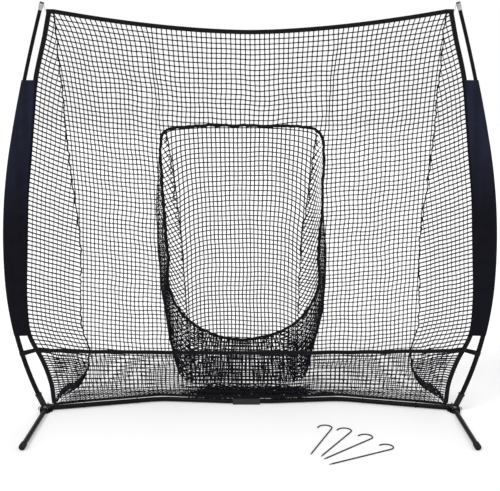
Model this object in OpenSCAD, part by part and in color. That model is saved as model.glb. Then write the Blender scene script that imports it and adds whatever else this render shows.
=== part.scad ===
// Pitching target net: a bent tube base with folding legs, two bowed poles that push together from
// three sections each, and a square-mesh net with a strike-zone opening and a catch pocket.
// Millimetres, +Z up, +X to the right, +Y away from the pitcher.
// The origin lies on the floor under the middle of the base coupler's bore.

/* [Base] */
// Distance between the two corner brackets, measured at the base line's ends
base_span = 2200; // [1900:10:2500]
// How far the poles stand in front of the coupler
base_depth = 115; // [90:5:160]
// How far the bends of the base lie behind the poles
bend_depth = 153; // [130:1:180]
// Distance of each bend from the middle
bend_x = 495; // [400:5:600]
// Bend radius of the base tubes, at the tube's axis
bend_r = 400; // [200:10:500]
// Outer diameter of the base tubes, legs and lower pole sections
tube_d = 25; // [22:0.5:28]
// Wall of every tube
tube_wall = 1.2; // [1:0.1:1.5]
// Gap that sliding and nested pieces keep on each side
slip = 0.3; // [0.2:0.05:0.5]

/* [Coupler] */
// Length of the coupler
coupler_len = 148; // [120:1:180]
// Distance of the coupler's middle from the mid-plane, to the left
coupler_shift = 20; // [0:1:40]
// Wall of the coupler in front of and behind the tubes
coupler_wall = 4.5; // [3:0.5:8]
// Radius of the coupler's long edges
coupler_edge = 4; // [2:0.5:6]

/* [Corner brackets] */
// Thickness of the bracket's plates
plate_t = 3; // [2:0.5:4]
// Space above and below the tube between the plates
plate_gap = 0.5; // [0.3:0.1:1]
// Distance of the leg's pivot in front of the poles
pivot_front = 30; // [29:1:40]
// Distance of the leg's pivot inside the bracket's corner
pivot_in = 5; // [0:1:10]
// Distance from the bracket's corner to the outer web
web_out = 19; // [17:1:26]
// How far the plates reach inwards along the base tube
plate_in = 40; // [30:1:60]
// Radius of the bolt that holds the base tube
bolt_r = 3; // [2.5:0.1:4]
// Radius of the leg's pivot bolt
pivot_r = 4; // [3:0.1:5]
// Running clearance of the bolts in their holes
bolt_play = 0.06; // [0.03:0.01:0.1]

/* [Legs] */
// Length of a leg from its pivot to the end of the foot cap
leg_len = 520; // [400:10:560]
// Length of a foot cap
foot_len = 46; // [35:1:60]

/* [Pole sockets] */
// Length of the socket, measured along the pole
socket_len = 66; // [55:1:80]
// Wall of the socket
socket_wall = 2.7; // [2:0.1:4]
// Height of the socket's rim collar
collar_h = 8; // [6:0.5:12]
// Thickness that the collar adds to the socket
collar_t = 2.5; // [1.5:0.5:4]
// Radius of the snap button
button_r = 3.5; // [3:0.1:4.5]
// How far the button stands out of the socket, which is also its travel
button_out = 4; // [3:0.1:5]

/* [Poles] */
// Length of the lower and of the middle pole section
section_len = 720; // [600:5:780]
// Length of the upper pole section
upper_len = 685; // [560:5:780]
// Angle that a pole leans outwards where it leaves the floor
pole_lean = 25.5; // [22:0.1:28]
// Bend of the lower section
lower_bend = 23.4; // [20:0.1:26]
// Bend of the middle section
middle_bend = 13.6; // [11:0.1:16]
// Bend of the upper section
upper_bend = 4.8; // [3:0.1:8]
// Height above the floor where the pole's curve starts
pole_start_z = 20; // [18:1:24]
// Length that a section slides into the one below it
overlap = 60; // [40:1:80]

/* [Pole tips] */
// Length of the ferrule
ferrule_len = 33; // [25:1:45]
// Largest radius of the ferrule
ferrule_r = 12; // [11:0.5:14]
// Thickness of the cap disc
cap_h = 9; // [5:0.5:12]
// Radius of the cap disc
cap_r = 11; // [9:0.5:11]
// Radius of the corner cords
cord_r = 1.5; // [1:0.1:2]

/* [Net] */
// Width of the side and bottom bindings
webbing_w = 25; // [20:1:30]
// Thickness of the webbing
webbing_t = 2.5; // [1.5:0.1:3]
// Gap between the coupler and the bottom binding that stands over it
hem_gap = 0.4; // [0.3:0.1:2]
// Height of the netting above the floor where it turns forward to the bottom binding
net_floor = 12; // [8:1:20]
// How far the net's top corners lie below the pole's end
net_drop = 17; // [0:1:60]
// Height of the top binding
top_webbing_h = 22; // [18:1:28]
// How much lower the top binding hangs in the middle than at its ends
top_sag = 101; // [60:1:140]
// Depth to which the back net bags out behind the poles
net_depth = 300; // [240:5:340]
// Thickness of the netting
net_t = 1.2; // [0.8:0.1:2]
// Gap between the netting and the pieces it is sewn to
seam_gap = 0.3; // [0.2:0.05:0.5]
// Height of the front strap's middle
strap_z = 332; // [300:1:380]
// Height of the front strap
strap_h = 22; // [18:1:28]

/* [Strike zone] */
// Half width of the opening
zone_half = 435; // [380:5:480]
// Distance of the opening's middle from the mid-plane, to the left
zone_shift = 42; // [0:1:60]
// Height of the opening's top edge
zone_top = 1520; // [1440:5:1560]
// Height of the opening's lowest point
zone_low = 317; // [300:1:400]
// Height at which the opening starts to round in
zone_mid = 717; // [650:1:800]
// Radius of the opening's top corners
zone_corner = 75; // [50:5:100]
// Radius of the bound rim
rim_r = 6; // [4:0.5:7]
// Depth of the pocket behind the rim
pocket_depth = 130; // [100:5:150]

/* [Sleeves] */
// Height of the sleeves' lower edge
sleeve_low = 420; // [400:5:500]
// Height of the sleeves' upper edge
sleeve_top = 1752; // [1600:5:1780]
// Thickness of the sleeve cloth
sleeve_t = 1.2; // [0.8:0.1:1.6]

/* [Ground stakes] */
// Radius of the stake wire
stake_r = 3.5; // [3:0.1:5]
// Length of the stake's straight shaft
stake_len = 360; // [300:5:400]
// Radius of the hook's bend, at the wire's axis
stake_hook_r = 35; // [25:1:40]
// Length of the hook's straight end
stake_tail = 13; // [8:1:20]

/* [Hidden] */
$fn = 48;
// Facets of a full circle at the poles' and the base tubes' bend radii, and round a tube
arc_fn = 1440;
bend_fn = 360;
tube_fn = 48;

LEFT = -1;
RIGHT = 1;
steel_black = [0.07, 0.07, 0.08];
satin_black = [0.12, 0.12, 0.13];
silver = [0.72, 0.73, 0.75];
cloth_navy = [0.07, 0.08, 0.13];
webbing_black = [0.05, 0.05, 0.06];
netting = [0.16, 0.16, 0.18];
cord_white = [0.85, 0.85, 0.84];
wire_grey = [0.35, 0.36, 0.38];

// ---- Shared sizes ----
tube_r = tube_d / 2;
bore_r = tube_r - tube_wall;
middle_r = bore_r - slip;
upper_r = middle_r - tube_wall - slip;
tube_z = plate_t + plate_gap + tube_r;
plate_top = 2 * tube_z;
frame_y = -base_depth;
corner_x = base_span / 2;
bend_y = bend_depth - base_depth;
// The base tubes are straight as far as the coupler reaches and the next bend needs
flat_x = coupler_shift + coupler_len / 2 + 21;
over = 1;
// Where two lengths of one tube meet, one reaches lap into the other, which is a hair thinner
lap = 1;
hair = 0.05;

// ---- Pole curve: three tangent arcs in the plane of the frame ----
lengths = [section_len, section_len, upper_len];
bends = [lower_bend, middle_bend, upper_bend];
radii = [for (i = [0:2]) lengths[i] / (bends[i] * PI / 180)];
lean = [pole_lean, pole_lean - lower_bend, pole_lean - lower_bend - middle_bend];
function arc_point(centre, r, a) = centre + r * [cos(a), -sin(a)];
centre_0 = [corner_x, pole_start_z] - arc_point([0, 0], radii[0], lean[0]);
centre_1 = arc_point(centre_0, radii[0], lean[1]) - arc_point([0, 0], radii[1], lean[1]);
centre_2 = arc_point(centre_1, radii[1], lean[2]) - arc_point([0, 0], radii[2], lean[2]);
centres = [centre_0, centre_1, centre_2];
joint_z = [for (i = [0:1]) arc_point(centres[i], radii[i], lean[i + 1])[1]];
tip_point = arc_point(centre_2, radii[2], lean[2] - upper_bend);
function lean_at(i, s) = lean[i] - bends[i] * s / lengths[i];
function point_at(i, s) = arc_point(centres[i], radii[i], lean_at(i, s));
function section_at(z) = z < joint_z[0] ? 0 : z < joint_z[1] ? 1 : 2;
function lean_at_z(i, z) = asin((centres[i][1] - z) / radii[i]);
function length_at_z(z) = (lean[0] - lean_at_z(0, z)) * lengths[0] / bends[0];
function pole_x(z) = let (i = section_at(z)) centres[i][0] + radii[i] * cos(lean_at_z(i, z));
// Arc length at which the pole's square end clears the bracket's top plate
pole_s0 = (plate_top + slip + tube_r * sin(pole_lean) - pole_start_z) / cos(pole_lean);
// Arc length at which the socket's mouth lies
mouth_s = pole_s0 + socket_len;
button_s = mouth_s - collar_h - button_r - 4;

// ---- Net lines, as fractions f of the net's height ----
net_top = tip_point[1] - net_drop;
net_low = plate_top + hem_gap;
corner_z = net_low + webbing_w + seam_gap;
function z_at(f) = corner_z + f * (net_top - corner_z);
function f_of(z) = (z - corner_z) / (net_top - corner_z);
// Value at f of the smooth curve through a list of [f, value] pairs
function piece(pts, f, i = 0) = (i >= len(pts) - 2 || f < pts[i + 1][0]) ? i : piece(pts, f, i + 1);
function slope(pts, i) = let (a = max(i - 1, 0), b = min(i + 1, len(pts) - 1))
    (pts[b][1] - pts[a][1]) / (pts[b][0] - pts[a][0]);
function curve(pts, f) = let (i = piece(pts, f), h = pts[i + 1][0] - pts[i][0], s = (f - pts[i][0]) / h)
    pts[i][1] * (2 * s^3 - 3 * s^2 + 1) + slope(pts, i) * h * (s^3 - 2 * s^2 + s)
    + pts[i + 1][1] * (3 * s^2 - 2 * s^3) + slope(pts, i + 1) * h * (s^3 - s^2);
// Distance of the side binding's inner edge from the pole's axis
binding_inset = [[0, 84], [0.05, 110], [0.11, 110], [0.17, 82], [0.2, 79], [0.28, 94], [0.38, 111],
    [0.46, 116], [0.54, 113], [0.64, 108], [0.74, 90], [0.84, 69], [0.94, 67], [1, 60]];
// Distance of the seam between side net and back net from that inner edge
seam_inset = [[0, 24], [0.02, 72], [0.05, 119], [0.08, 154], [0.14, 205], [0.3, 236], [0.46, 228],
    [0.64, 174], [0.72, 147], [0.82, 122], [0.9, 76], [0.95, 49], [1, 16]];
function binding_x(f) = pole_x(z_at(f)) - curve(binding_inset, f);
function seam_x(f) = binding_x(f) - curve(seam_inset, f);
function hang_y(f) = frame_y + net_depth * ((1 - f) / 0.9)^0.8;
// Height of the back net's row f at the fraction u of its half width
function sag(f) = top_sag * (1 - (1 - f)^4);
function row_z(u, f) = net_floor + f * (net_top - net_floor) - sag(f) * (1 - abs(u)^1.7);
// Edge of the base line in plan, from the middle outwards
function base_y(x) = let (a = abs(x)) a < flat_x ? 0
    : a < bend_x ? bend_y * (a - flat_x) / (bend_x - flat_x)
    : bend_y + (frame_y - bend_y) * (a - bend_x) / (corner_x - bend_x);
// Point of the back net: f from 1 at the top to 0 at the floor, then on to -1 at the bottom binding
hem_x = corner_x - plate_in - 4;
hem_leave_x = 900;
function hem_y(x) = abs(x) < hem_leave_x ? base_y(x)
    : base_y(hem_leave_x) + (frame_y - base_y(hem_leave_x)) * (abs(x) - hem_leave_x) / (hem_x - hem_leave_x);
// The net's columns meet the bottom binding where that bends, and stand clear of its rounded bends
hem_stand = 0.9;
hem_columns = [[0, 0], [1 / 11, flat_x], [5 / 11, bend_x], [9 / 11, hem_leave_x], [1, hem_x - webbing_w]];
function hem_point(u) = let (x = sign(u) * lookup(abs(u), hem_columns))
    [x, hem_y(x) + webbing_t / 2 + hem_stand + net_t / 2, net_low + webbing_w / 2];
function net_point(u, f) = f >= 0
    ? [u * seam_x(f), hang_y(f), row_z(u, f)]
    : let (low = [u * seam_x(0), hang_y(0), row_z(u, 0)]) low * (1 + f) - hem_point(u) * f;
// Fraction f at which the back net passes the height z at the distance x from the middle
function f_at(x, z, n = 4) = let (f0 = (z - net_floor) / (net_top - net_floor),
    f = n == 0 ? f0 : f_at(x, z, n - 1))
    f0 + sag(f) * (1 - abs(x / seam_x(f))^1.7) / (net_top - net_floor);

// ---- Building helpers ----
module on_side(side) {
    if (side == LEFT) mirror([1, 0, 0]) children();
    else children();
}

// Places its children on the pole: local Z runs up the pole, local X points away from the net
module at_pole(i, s) {
    p = point_at(i, s);
    translate([p[0], frame_y, p[1]]) rotate([0, lean_at(i, s), 0]) children();
}

// Arc of a profile along section i of the pole, from length s0 to s1; profile X points outwards
module pole_arc(i, s0, s1) {
    a0 = lean_at(i, s0);
    translate([centres[i][0], frame_y, centres[i][1]]) rotate([90, a0, 0])
        rotate_extrude(angle = a0 - lean_at(i, s1), $fn = arc_fn) translate([radii[i], 0]) children();
}

module turned(yes) {
    if (yes) mirror([1, 0]) children();
    else children();
}

function heading(p, q) = atan2(q[1] - p[1], q[0] - p[0]);

// Sweeps a profile along a line on the floor plan, with every corner rounded to the radius r.
// Profile X points to the left of the line and profile Y up. Profiles are thinner by $thin.
module along(line, r) {
    last = len(line) - 1;
    turn = [for (i = [0:last]) i == 0 || i == last ? 0
        : heading(line[i], line[i + 1]) - heading(line[i - 1], line[i])];
    cut = [for (a = turn) r * tan(abs(a) / 2)];
    for (i = [0:last - 1]) {
        a = heading(line[i], line[i + 1]);
        from = cut[i] - (i > 0 ? lap : 0);
        to = norm(line[i + 1] - line[i]) - cut[i + 1] + (i < last - 1 ? lap : 0);
        $thin = 0;
        translate(line[i]) rotate([0, 0, a]) translate([from, 0, 0]) rotate([90, 0, 90])
            linear_extrude(to - from) children();
    }
    for (i = [1:1:last - 1]) {
        a = heading(line[i - 1], line[i]);
        side = turn[i] > 0 ? 1 : -1;
        $thin = hair;
        translate(line[i]) rotate([0, 0, a]) translate([-cut[i], side * r, 0])
            rotate([0, 0, side > 0 ? -90 : 90 + turn[i]])
            rotate_extrude(angle = abs(turn[i]), $fn = bend_fn) translate([r, 0])
            turned(side > 0) children();
    }
}

// Closed sheet of thickness t round a grid of points
function cell(g, i, j) = g[max(0, min(len(g) - 1, i))][max(0, min(len(g[0]) - 1, j))];
function unit(v) = v / max(norm(v), 0.000001);
function normal_at(g, i, j) = unit(cross(cell(g, i + 1, j) - cell(g, i - 1, j),
    cell(g, i, j + 1) - cell(g, i, j - 1)));
module sheet(g, t) {
    n = len(g);
    m = len(g[0]);
    front = [for (i = [0:n - 1]) for (j = [0:m - 1]) g[i][j] + normal_at(g, i, j) * t / 2];
    back = [for (i = [0:n - 1]) for (j = [0:m - 1]) g[i][j] - normal_at(g, i, j) * t / 2];
    k = n * m;
    rim = concat([for (j = [0:m - 1]) j], [for (i = [1:n - 1]) i * m + m - 1],
        [for (j = [m - 2:-1:0]) (n - 1) * m + j], [for (i = [n - 2:-1:1]) i * m]);
    polyhedron(concat(front, back), concat(
        [for (i = [0:n - 2]) for (j = [0:m - 2]) let (a = i * m + j) each
            [[a, a + 1, a + m + 1], [a, a + m + 1, a + m]]],
        [for (i = [0:n - 2]) for (j = [0:m - 2]) let (a = k + i * m + j) each
            [[a, a + m + 1, a + 1], [a, a + m, a + m + 1]]],
        [for (e = [0:len(rim) - 1]) let (a = rim[e], b = rim[(e + 1) % len(rim)]) each
            [[a, k + a, k + b], [a, k + b, b]]]));
}

// Solid swept through a list of sections with equal counts of points, closed at both ends
module loft(sections, ring = false) {
    n = len(sections);
    m = len(sections[0]);
    sides = [for (i = [0:n - (ring ? 1 : 2)]) for (j = [0:m - 1])
        let (a = i * m, b = (i + 1) % n * m, c = (j + 1) % m) each
        [[a + j, b + c, a + c], [a + j, b + j, b + c]]];
    polyhedron([for (s = sections) each s], ring ? sides : concat(sides,
        [[for (j = [0:m - 1]) j]], [[for (j = [m - 1:-1:0]) (n - 1) * m + j]]));
}

// Outline of fn points in the XZ plane: half ellipse below, straight sides and rounded top corners
ellipse_steps = 20;
corner_steps = 3;
function zone_outline(half, top, mid, low, corner, power) = concat(
    [for (i = [0:ellipse_steps]) let (a = 180 + 180 * i / ellipse_steps, c = cos(a), s = sin(a))
        [half * sign(c) * abs(c)^(2 / power), mid + (mid - low) * sign(s) * abs(s)^(2 / power)]],
    [for (i = [1:4]) [half, mid + (top - corner - mid) * i / 5]],
    [for (i = [0:corner_steps]) let (a = 90 * i / corner_steps)
        [half - corner + corner * cos(a), top - corner + corner * sin(a)]],
    [for (i = [1:5]) [(half - corner) * (1 - i / 3), top]],
    [for (i = [0:corner_steps]) let (a = 90 + 90 * i / corner_steps)
        [-half + corner + corner * cos(a), top - corner + corner * sin(a)]],
    [for (i = [4:-1:1]) [-half, mid + (top - corner - mid) * i / 5]]);

// ---- Base ----
coupler_left = -coupler_shift - coupler_len / 2;
tube_end_x = corner_x - 12;
right_base_line = [[-coupler_shift + slip, 0], [flat_x, 0], [bend_x, bend_y],
    [tube_end_x, base_y(tube_end_x)]];
left_base_line = [[coupler_shift + slip, 0], [flat_x, 0], [bend_x, bend_y],
    [tube_end_x, base_y(tube_end_x)]];
base_bolt_x = corner_x - 25;
// The same line, drawn out past both open ends
function bore_line(line) = let (n = len(line) - 1) [line[0] - [over, 0], line[1], line[2],
    line[n] + over * unit(line[n] - line[n - 1])];

module base_coupler() {
    bore = tube_r + plate_gap;
    half_y = bore + coupler_wall;
    color(satin_black) translate([coupler_left, 0, 0]) rotate([90, 0, 90]) linear_extrude(coupler_len)
        difference() {
            union() {
                translate([-half_y, coupler_edge]) square([2 * half_y, plate_top - 2 * coupler_edge]);
                translate([-half_y + coupler_edge, 0]) square([2 * (half_y - coupler_edge), plate_top]);
                for (x = [-1, 1], z = [coupler_edge, plate_top - coupler_edge])
                    translate([x * (half_y - coupler_edge), z]) circle(coupler_edge);
            }
            translate([0, tube_z]) circle(bore);
        }
}

module base_tube(side) {
    line = side == LEFT ? left_base_line : right_base_line;
    color(steel_black) on_side(side) difference() {
        along(line, bend_r) translate([0, tube_z]) circle(tube_r - $thin, $fn = tube_fn);
        along(bore_line(line), bend_r) translate([0, tube_z]) circle(bore_r - $thin, $fn = tube_fn);
        translate([base_bolt_x, base_y(base_bolt_x), 0]) cylinder(r = bolt_r + bolt_play, h = plate_top);
    }
}

// ---- Corner brackets ----
web_x = corner_x + web_out;
pivot = [corner_x - pivot_in, frame_y - pivot_front];
eye_r = tube_r + 0.5;
eye_half = tube_r + plate_gap / 2;
lobe_r = 18;
plate_back = 28;
hook_z = 14;

module plate_outline() {
    translate([corner_x - plate_in + lobe_r / 2, frame_y - pivot_front])
        square([web_x - corner_x + plate_in - lobe_r / 2, pivot_front + plate_back]);
    translate([corner_x - plate_in, frame_y - tube_r]) square([plate_in, plate_back + tube_r]);
    translate(pivot) circle(lobe_r);
    translate([pivot[0], pivot[1] - lobe_r]) square([web_x - pivot[0], lobe_r + over]);
}

module corner_bracket(side) {
    color(satin_black) on_side(side) difference() {
        union() {
            linear_extrude(plate_t) plate_outline();
            translate([0, 0, plate_top - plate_t]) linear_extrude(plate_t) plate_outline();
            translate([web_x - plate_t, pivot[1] - lobe_r, 0])
                cube([plate_t, pivot_front + lobe_r + plate_back, plate_top]);
        }
        translate([pivot[0], pivot[1], -over]) cylinder(r = pivot_r + bolt_play, h = plate_top + 2 * over);
        translate([base_bolt_x, base_y(base_bolt_x), -over])
            cylinder(r = bolt_r + bolt_play, h = plate_top + 2 * over);
    }
}

module hex_bolt(r, h, head_r, head_h) {
    translate([0, 0, plate_top - h]) cylinder(r = r, h = h);
    translate([0, 0, plate_top]) cylinder(r = head_r, h = head_h, $fn = 6);
}

module base_bolts() {
    color(silver) for (side = [LEFT, RIGHT]) on_side(side)
        translate([base_bolt_x, base_y(base_bolt_x), 0]) hex_bolt(bolt_r, plate_top - 0.5, 2 * bolt_r, bolt_head_h);
}

module leg_bolt(side) {
    color(silver) on_side(side) translate(concat(pivot, 0)) union() {
        translate([0, 0, 0.5]) cylinder(r = pivot_r, h = plate_top - 0.5);
        translate([0, 0, plate_top]) cylinder(r = 1.9 * pivot_r, h = 3.5);
    }
}

// ---- Legs, pointing forward when they stand ----
leg_end = leg_len - 12;

module leg(side) {
    color(steel_black) on_side(side) translate([pivot[0], pivot[1], tube_z]) difference() {
        union() {
            translate([0, 0, -eye_half]) cylinder(r = eye_r, h = 2 * eye_half);
            rotate([90, 0, 0]) cylinder(r = tube_r, h = leg_end);
        }
        translate([0, 0, -tube_z]) cylinder(r = pivot_r + bolt_play, h = plate_top);
        rotate([90, 0, 0]) translate([0, 0, 2 * eye_r]) cylinder(r = bore_r, h = leg_len);
    }
}

module foot_cap(side) {
    cap = tube_z;
    round_r = 7;
    color(webbing_black) on_side(side) translate([pivot[0], pivot[1] - leg_len, tube_z]) rotate([-90, 0, 0])
        rotate_extrude() difference() {
            union() {
                translate([0, round_r]) square([cap, foot_len - round_r]);
                square([cap - round_r, foot_len]);
                translate([cap - round_r, round_r]) circle(round_r);
            }
            translate([0, leg_len - leg_end]) square([tube_r + 0.1, foot_len]);
            translate([-cap, -over]) square([cap, foot_len + 2 * over]);
        }
}

// ---- Pole sockets and snap buttons ----
socket_in = tube_r + slip;
socket_out = socket_in + socket_wall;
collar_r = socket_out + collar_t;

// How far below the bracket's top plate the socket is drawn, before that is cut off
sink = 10;

module pole_socket(side) {
    color(satin_black) on_side(side) difference() {
        union() {
            pole_arc(0, -sink, mouth_s - lap) circle(socket_out, $fn = tube_fn);
            pole_arc(0, mouth_s - collar_h, mouth_s) circle(collar_r, $fn = tube_fn);
        }
        pole_arc(0, -2 * sink, mouth_s + over) circle(socket_in, $fn = tube_fn);
        translate([corner_x - 3 * collar_r, frame_y - 3 * collar_r, -plate_top])
            cube([6 * collar_r, 6 * collar_r, 2 * plate_top]);
        at_pole(0, button_s) rotate([0, 90, 0]) cylinder(r = button_r + 0.1, h = 2 * collar_r);
    }
}

module snap_button(side) {
    flange_r = button_r + 1.5;
    flange_out = sqrt(bore_r^2 - flange_r^2) - slip;
    flange_t = 2;
    color(silver) on_side(side) at_pole(0, button_s) rotate([0, 90, 0]) union() {
        translate([0, 0, flange_out - flange_t]) cylinder(r = flange_r, h = flange_t);
        translate([0, 0, flange_out - over]) cylinder(r = button_r, h = socket_out + button_out - 2
            - flange_out + over);
        translate([0, 0, socket_out + button_out - 2]) cylinder(r1 = button_r, r2 = button_r - 1, h = 2);
    }
}

// ---- Poles ----
module pole_lower(side) {
    color(steel_black) on_side(side) difference() {
        pole_arc(0, pole_s0, section_len) circle(tube_r, $fn = tube_fn);
        pole_arc(0, pole_s0 - over, section_len + over) circle(bore_r, $fn = tube_fn);
        at_pole(0, button_s) rotate([0, 90, 0]) cylinder(r = button_r + 0.1, h = 2 * tube_r);
    }
}

module nested_section(side, i, r) {
    color(steel_black) on_side(side) difference() {
        union() {
            pole_arc(i - 1, section_len - overlap, section_len + lap) circle(r, $fn = tube_fn);
            pole_arc(i, 0, lengths[i]) circle(r - hair, $fn = tube_fn);
        }
        union() {
            pole_arc(i - 1, section_len - overlap - over, section_len + lap)
                circle(r - tube_wall, $fn = tube_fn);
            pole_arc(i, 0, lengths[i] + over) circle(r - tube_wall - hair, $fn = tube_fn);
        }
    }
}

// ---- Pole tips ----
groove_z = ferrule_len - 3;
spigot_len = 20;

module pole_tip(side) {
    color(silver) on_side(side) at_pole(2, upper_len) rotate_extrude() difference() {
        union() {
            translate([0, -spigot_len]) square([upper_r - tube_wall - slip, spigot_len + over]);
            polygon([[0, 0], [upper_r, 0], [ferrule_r, 0.7 * ferrule_len], [ferrule_r, ferrule_len],
                [0, ferrule_len]]);
        }
        translate([ferrule_r, groove_z]) circle(1.2 * cord_r);
    }
}

module tip_cap(side) {
    edge = 2;
    color(wire_grey) on_side(side) at_pole(2, upper_len) translate([0, 0, ferrule_len])
        rotate_extrude() union() {
            square([cap_r, cap_h - edge]);
            square([cap_r - edge, cap_h]);
            intersection() {
                translate([cap_r - edge, cap_h - edge]) circle(edge);
                square([cap_r, cap_h]);
            }
        }
}

// Half width and height of the top binding's upper edge, which the net's corner ends
top_half = binding_x(1) + webbing_w;
function top_edge(u) = net_top + seam_gap + top_webbing_h
    - top_sag * (1 - abs(u * top_half / seam_x(1))^1.7);
// The knot lies just inside the loop, and the tail ends at the net's top corner
net_corner = [top_half + seam_gap + 2 * cord_r, net_top + top_webbing_h / 2];

module top_cord(side) {
    loop_r = ferrule_r + 0.1;
    a = lean_at(2, upper_len);
    knot = tip_point + groove_z * [sin(a), cos(a)] - (loop_r + cord_r) * [cos(a), -sin(a)];
    way = net_corner - knot;
    color(cord_white) on_side(side) {
        at_pole(2, upper_len) translate([0, 0, groove_z]) rotate_extrude() translate([loop_r, 0])
            circle(cord_r, $fn = 24);
        translate([knot[0], frame_y, knot[1]]) union() {
            sphere(1.6 * cord_r, $fn = 24);
            rotate([0, atan2(way[0], way[1]), 0]) cylinder(r = cord_r, h = norm(way), $fn = 24);
        }
    }
}

// ---- Bindings ----
binding_steps = 30;

module side_binding(side) {
    color(webbing_black) on_side(side) loft([for (i = [0:binding_steps])
        let (f = i / binding_steps, x = binding_x(f), z = z_at(f), t = webbing_t / 2)
        [[x, frame_y - t, z], [x + webbing_w, frame_y - t, z], [x + webbing_w, frame_y + t, z],
            [x, frame_y + t, z]]]);
}

module top_binding() {
    stations = concat([-1], [for (j = [0:net_cols]) back_x(2 * j / net_cols - 1, 1) * seam_x(1) / top_half], [1]);
    color(webbing_black) loft([for (u = stations) let (z = top_edge(u), t = webbing_t / 2)
        [[u * top_half, frame_y - t, z - top_webbing_h], [u * top_half, frame_y + t, z - top_webbing_h],
            [u * top_half, frame_y + t, z], [u * top_half, frame_y - t, z]]]);
}

// The bottom binding stands on the base tubes and leaves them near the corners
tie_x = [900, 620];
tie_wire = 1.2;
tie_top = net_low + 9.6;
tie_low = 1.8;
hem_half = [[flat_x, 0], [bend_x, bend_y], [hem_leave_x, base_y(hem_leave_x)], [hem_x, frame_y]];
hem_line = concat([for (i = [3:-1:0]) [-hem_half[i][0], hem_half[i][1]]], hem_half);

module bottom_binding() {
    color(webbing_black) difference() {
        along(hem_line, bend_r) translate([$thin - webbing_t / 2, net_low + $thin])
            square([webbing_t, webbing_w] - 2 * [$thin, $thin]);
        for (side = [LEFT, RIGHT], x = tie_x)
            translate([side * x, base_y(x), tie_top]) rotate([90, 0, 0])
                cylinder(r = 2.5, h = 12 * webbing_t, center = true);
    }
}

module net_ties() {
    r = (tie_top - tie_low) / 2;
    color(webbing_black) for (side = [LEFT, RIGHT], x = tie_x) on_side(side)
        translate([x, base_y(x), tie_low + r]) rotate([90, 0, 90 + heading([x, base_y(x)],
            [x + 1, base_y(x + 1)])]) rotate_extrude() translate([r, 0]) circle(tie_wire, $fn = 24);
}

// ---- Corner rings: staples on the brackets, with a webbing tab through each ----
staple_x = corner_x - 16;
staple_r = 9;
staple_wire = 2;
staple_leg = 6;
bolt_head_h = 4;

module corner_ring(side) {
    color(silver) on_side(side) translate([staple_x, frame_y, plate_top]) union() {
        for (y = [-1, 1]) translate([0, y * staple_r, 0])
            cylinder(r = staple_wire - hair, h = staple_leg + lap / 2, $fn = 24);
        translate([0, 0, staple_leg]) rotate([90, 0, 90]) rotate_extrude(angle = 180)
            translate([staple_r, 0]) circle(staple_wire, $fn = 24);
    }
}

module corner_tabs() {
    tab_w = 10;
    tab_t = 2;
    color(webbing_black) for (side = [LEFT, RIGHT]) on_side(side)
        translate([hem_x, frame_y - tab_w / 2, plate_top + bolt_head_h + 0.6])
            cube([staple_x + 2 * staple_wire - hem_x, tab_w, tab_t]);
}

// ---- Guy hooks on the outer webs ----
module guy_hook(side) {
    wire = 2;
    bend = 6;
    stub = wire + 2;
    color(silver) on_side(side) translate([web_x, frame_y, hook_z]) union() {
        rotate([0, 90, 0]) cylinder(r = wire, h = stub, $fn = 24);
        translate([stub, 0, 0]) sphere(wire, $fn = 24);
        translate([stub, 0, 0]) cylinder(r = wire, h = 4, $fn = 24);
        translate([stub + bend, 0, 4]) rotate([90, 0, 0]) rotate_extrude(angle = 180)
            translate([bend, 0]) circle(wire, $fn = 24);
        translate([stub + 2 * bend, 0, -8]) cylinder(r = wire, h = 12, $fn = 24);
    }
}

// ---- Front strap and the tabs that hold it to the poles ----
strap_x = binding_x(f_of(strap_z)) + webbing_w + 4;
strap_y = frame_y - webbing_t - seam_gap;
strap_rise = 14;
function strap_line_z(x) = strap_z - strap_rise / 2 + strap_rise * (x / strap_x)^2;

module front_strap() {
    steps = 16;
    color(webbing_black) loft([for (i = [0:steps]) let (x = (2 * i / steps - 1) * strap_x, z = strap_line_z(x),
        t = webbing_t / 2)
        [[x, strap_y - t, z - strap_h / 2], [x, strap_y + t, z - strap_h / 2],
            [x, strap_y + t, z + strap_h / 2], [x, strap_y - t, z + strap_h / 2]]]);
}

// Hairpin outline round the pole, open towards the net: the two layers end at the distance reach
// from the pole's axis, with the gap between them, and every layer has the thickness t
function hairpin(reach, r, gap, t) = let (n = 8, a_in = 180 - acos(r / reach), a_out = 180 - acos((r + t) / reach))
    concat(
        [[-reach, -gap / 2 - t]], [for (i = [0:n]) let (a = -a_out + 2 * a_out * i / n) (r + t) * [cos(a), sin(a)]],
        [[-reach, gap / 2 + t], [-reach, gap / 2]],
        [for (i = [0:n]) let (a = a_in - 2 * a_in * i / n) r * [cos(a), sin(a)]], [[-reach, -gap / 2]]);

module strap_tab(side) {
    // The tab lies square to the pole, so it rises from the pole to the strap's end
    a = lean_at_z(0, strap_z);
    z = strap_line_z(strap_x) - (pole_x(strap_z) - strap_x) * tan(a);
    s = length_at_z(z);
    reach = (pole_x(z) - strap_x) / cos(a) - 2;
    color(webbing_black) on_side(side) at_pole(0, s) translate([0, 0, -strap_h / 2]) linear_extrude(strap_h)
        polygon(hairpin(reach, tube_r + slip, 0.4, 1.2));
}

// ---- Sleeves: folded round the poles, with the side bindings between their layers ----
module sleeve(side) {
    steps = 16;
    color(cloth_navy) on_side(side) loft([for (i = [0:steps])
        let (z = sleeve_low + (sleeve_top - sleeve_low) * i / steps, f = f_of(z),
            section = hairpin(curve(binding_inset, f), tube_r + 3 * slip, webbing_t + 2 * slip, sleeve_t))
        [for (p = section) [pole_x(z) + p[0], frame_y + p[1], z]]]);
}

// ---- Nets ----
net_rows = [-1, -0.5, 0, 0.07, 0.15, 0.26, 0.38, 0.5, 0.62, 0.74, 0.83, 0.924, 1];
net_cols = 11;
net_edge = seam_gap + net_t;
lip_gap = 6;

function back_x(u, f) = u * (1 - 1.5 / seam_x(max(f, 0)));

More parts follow.
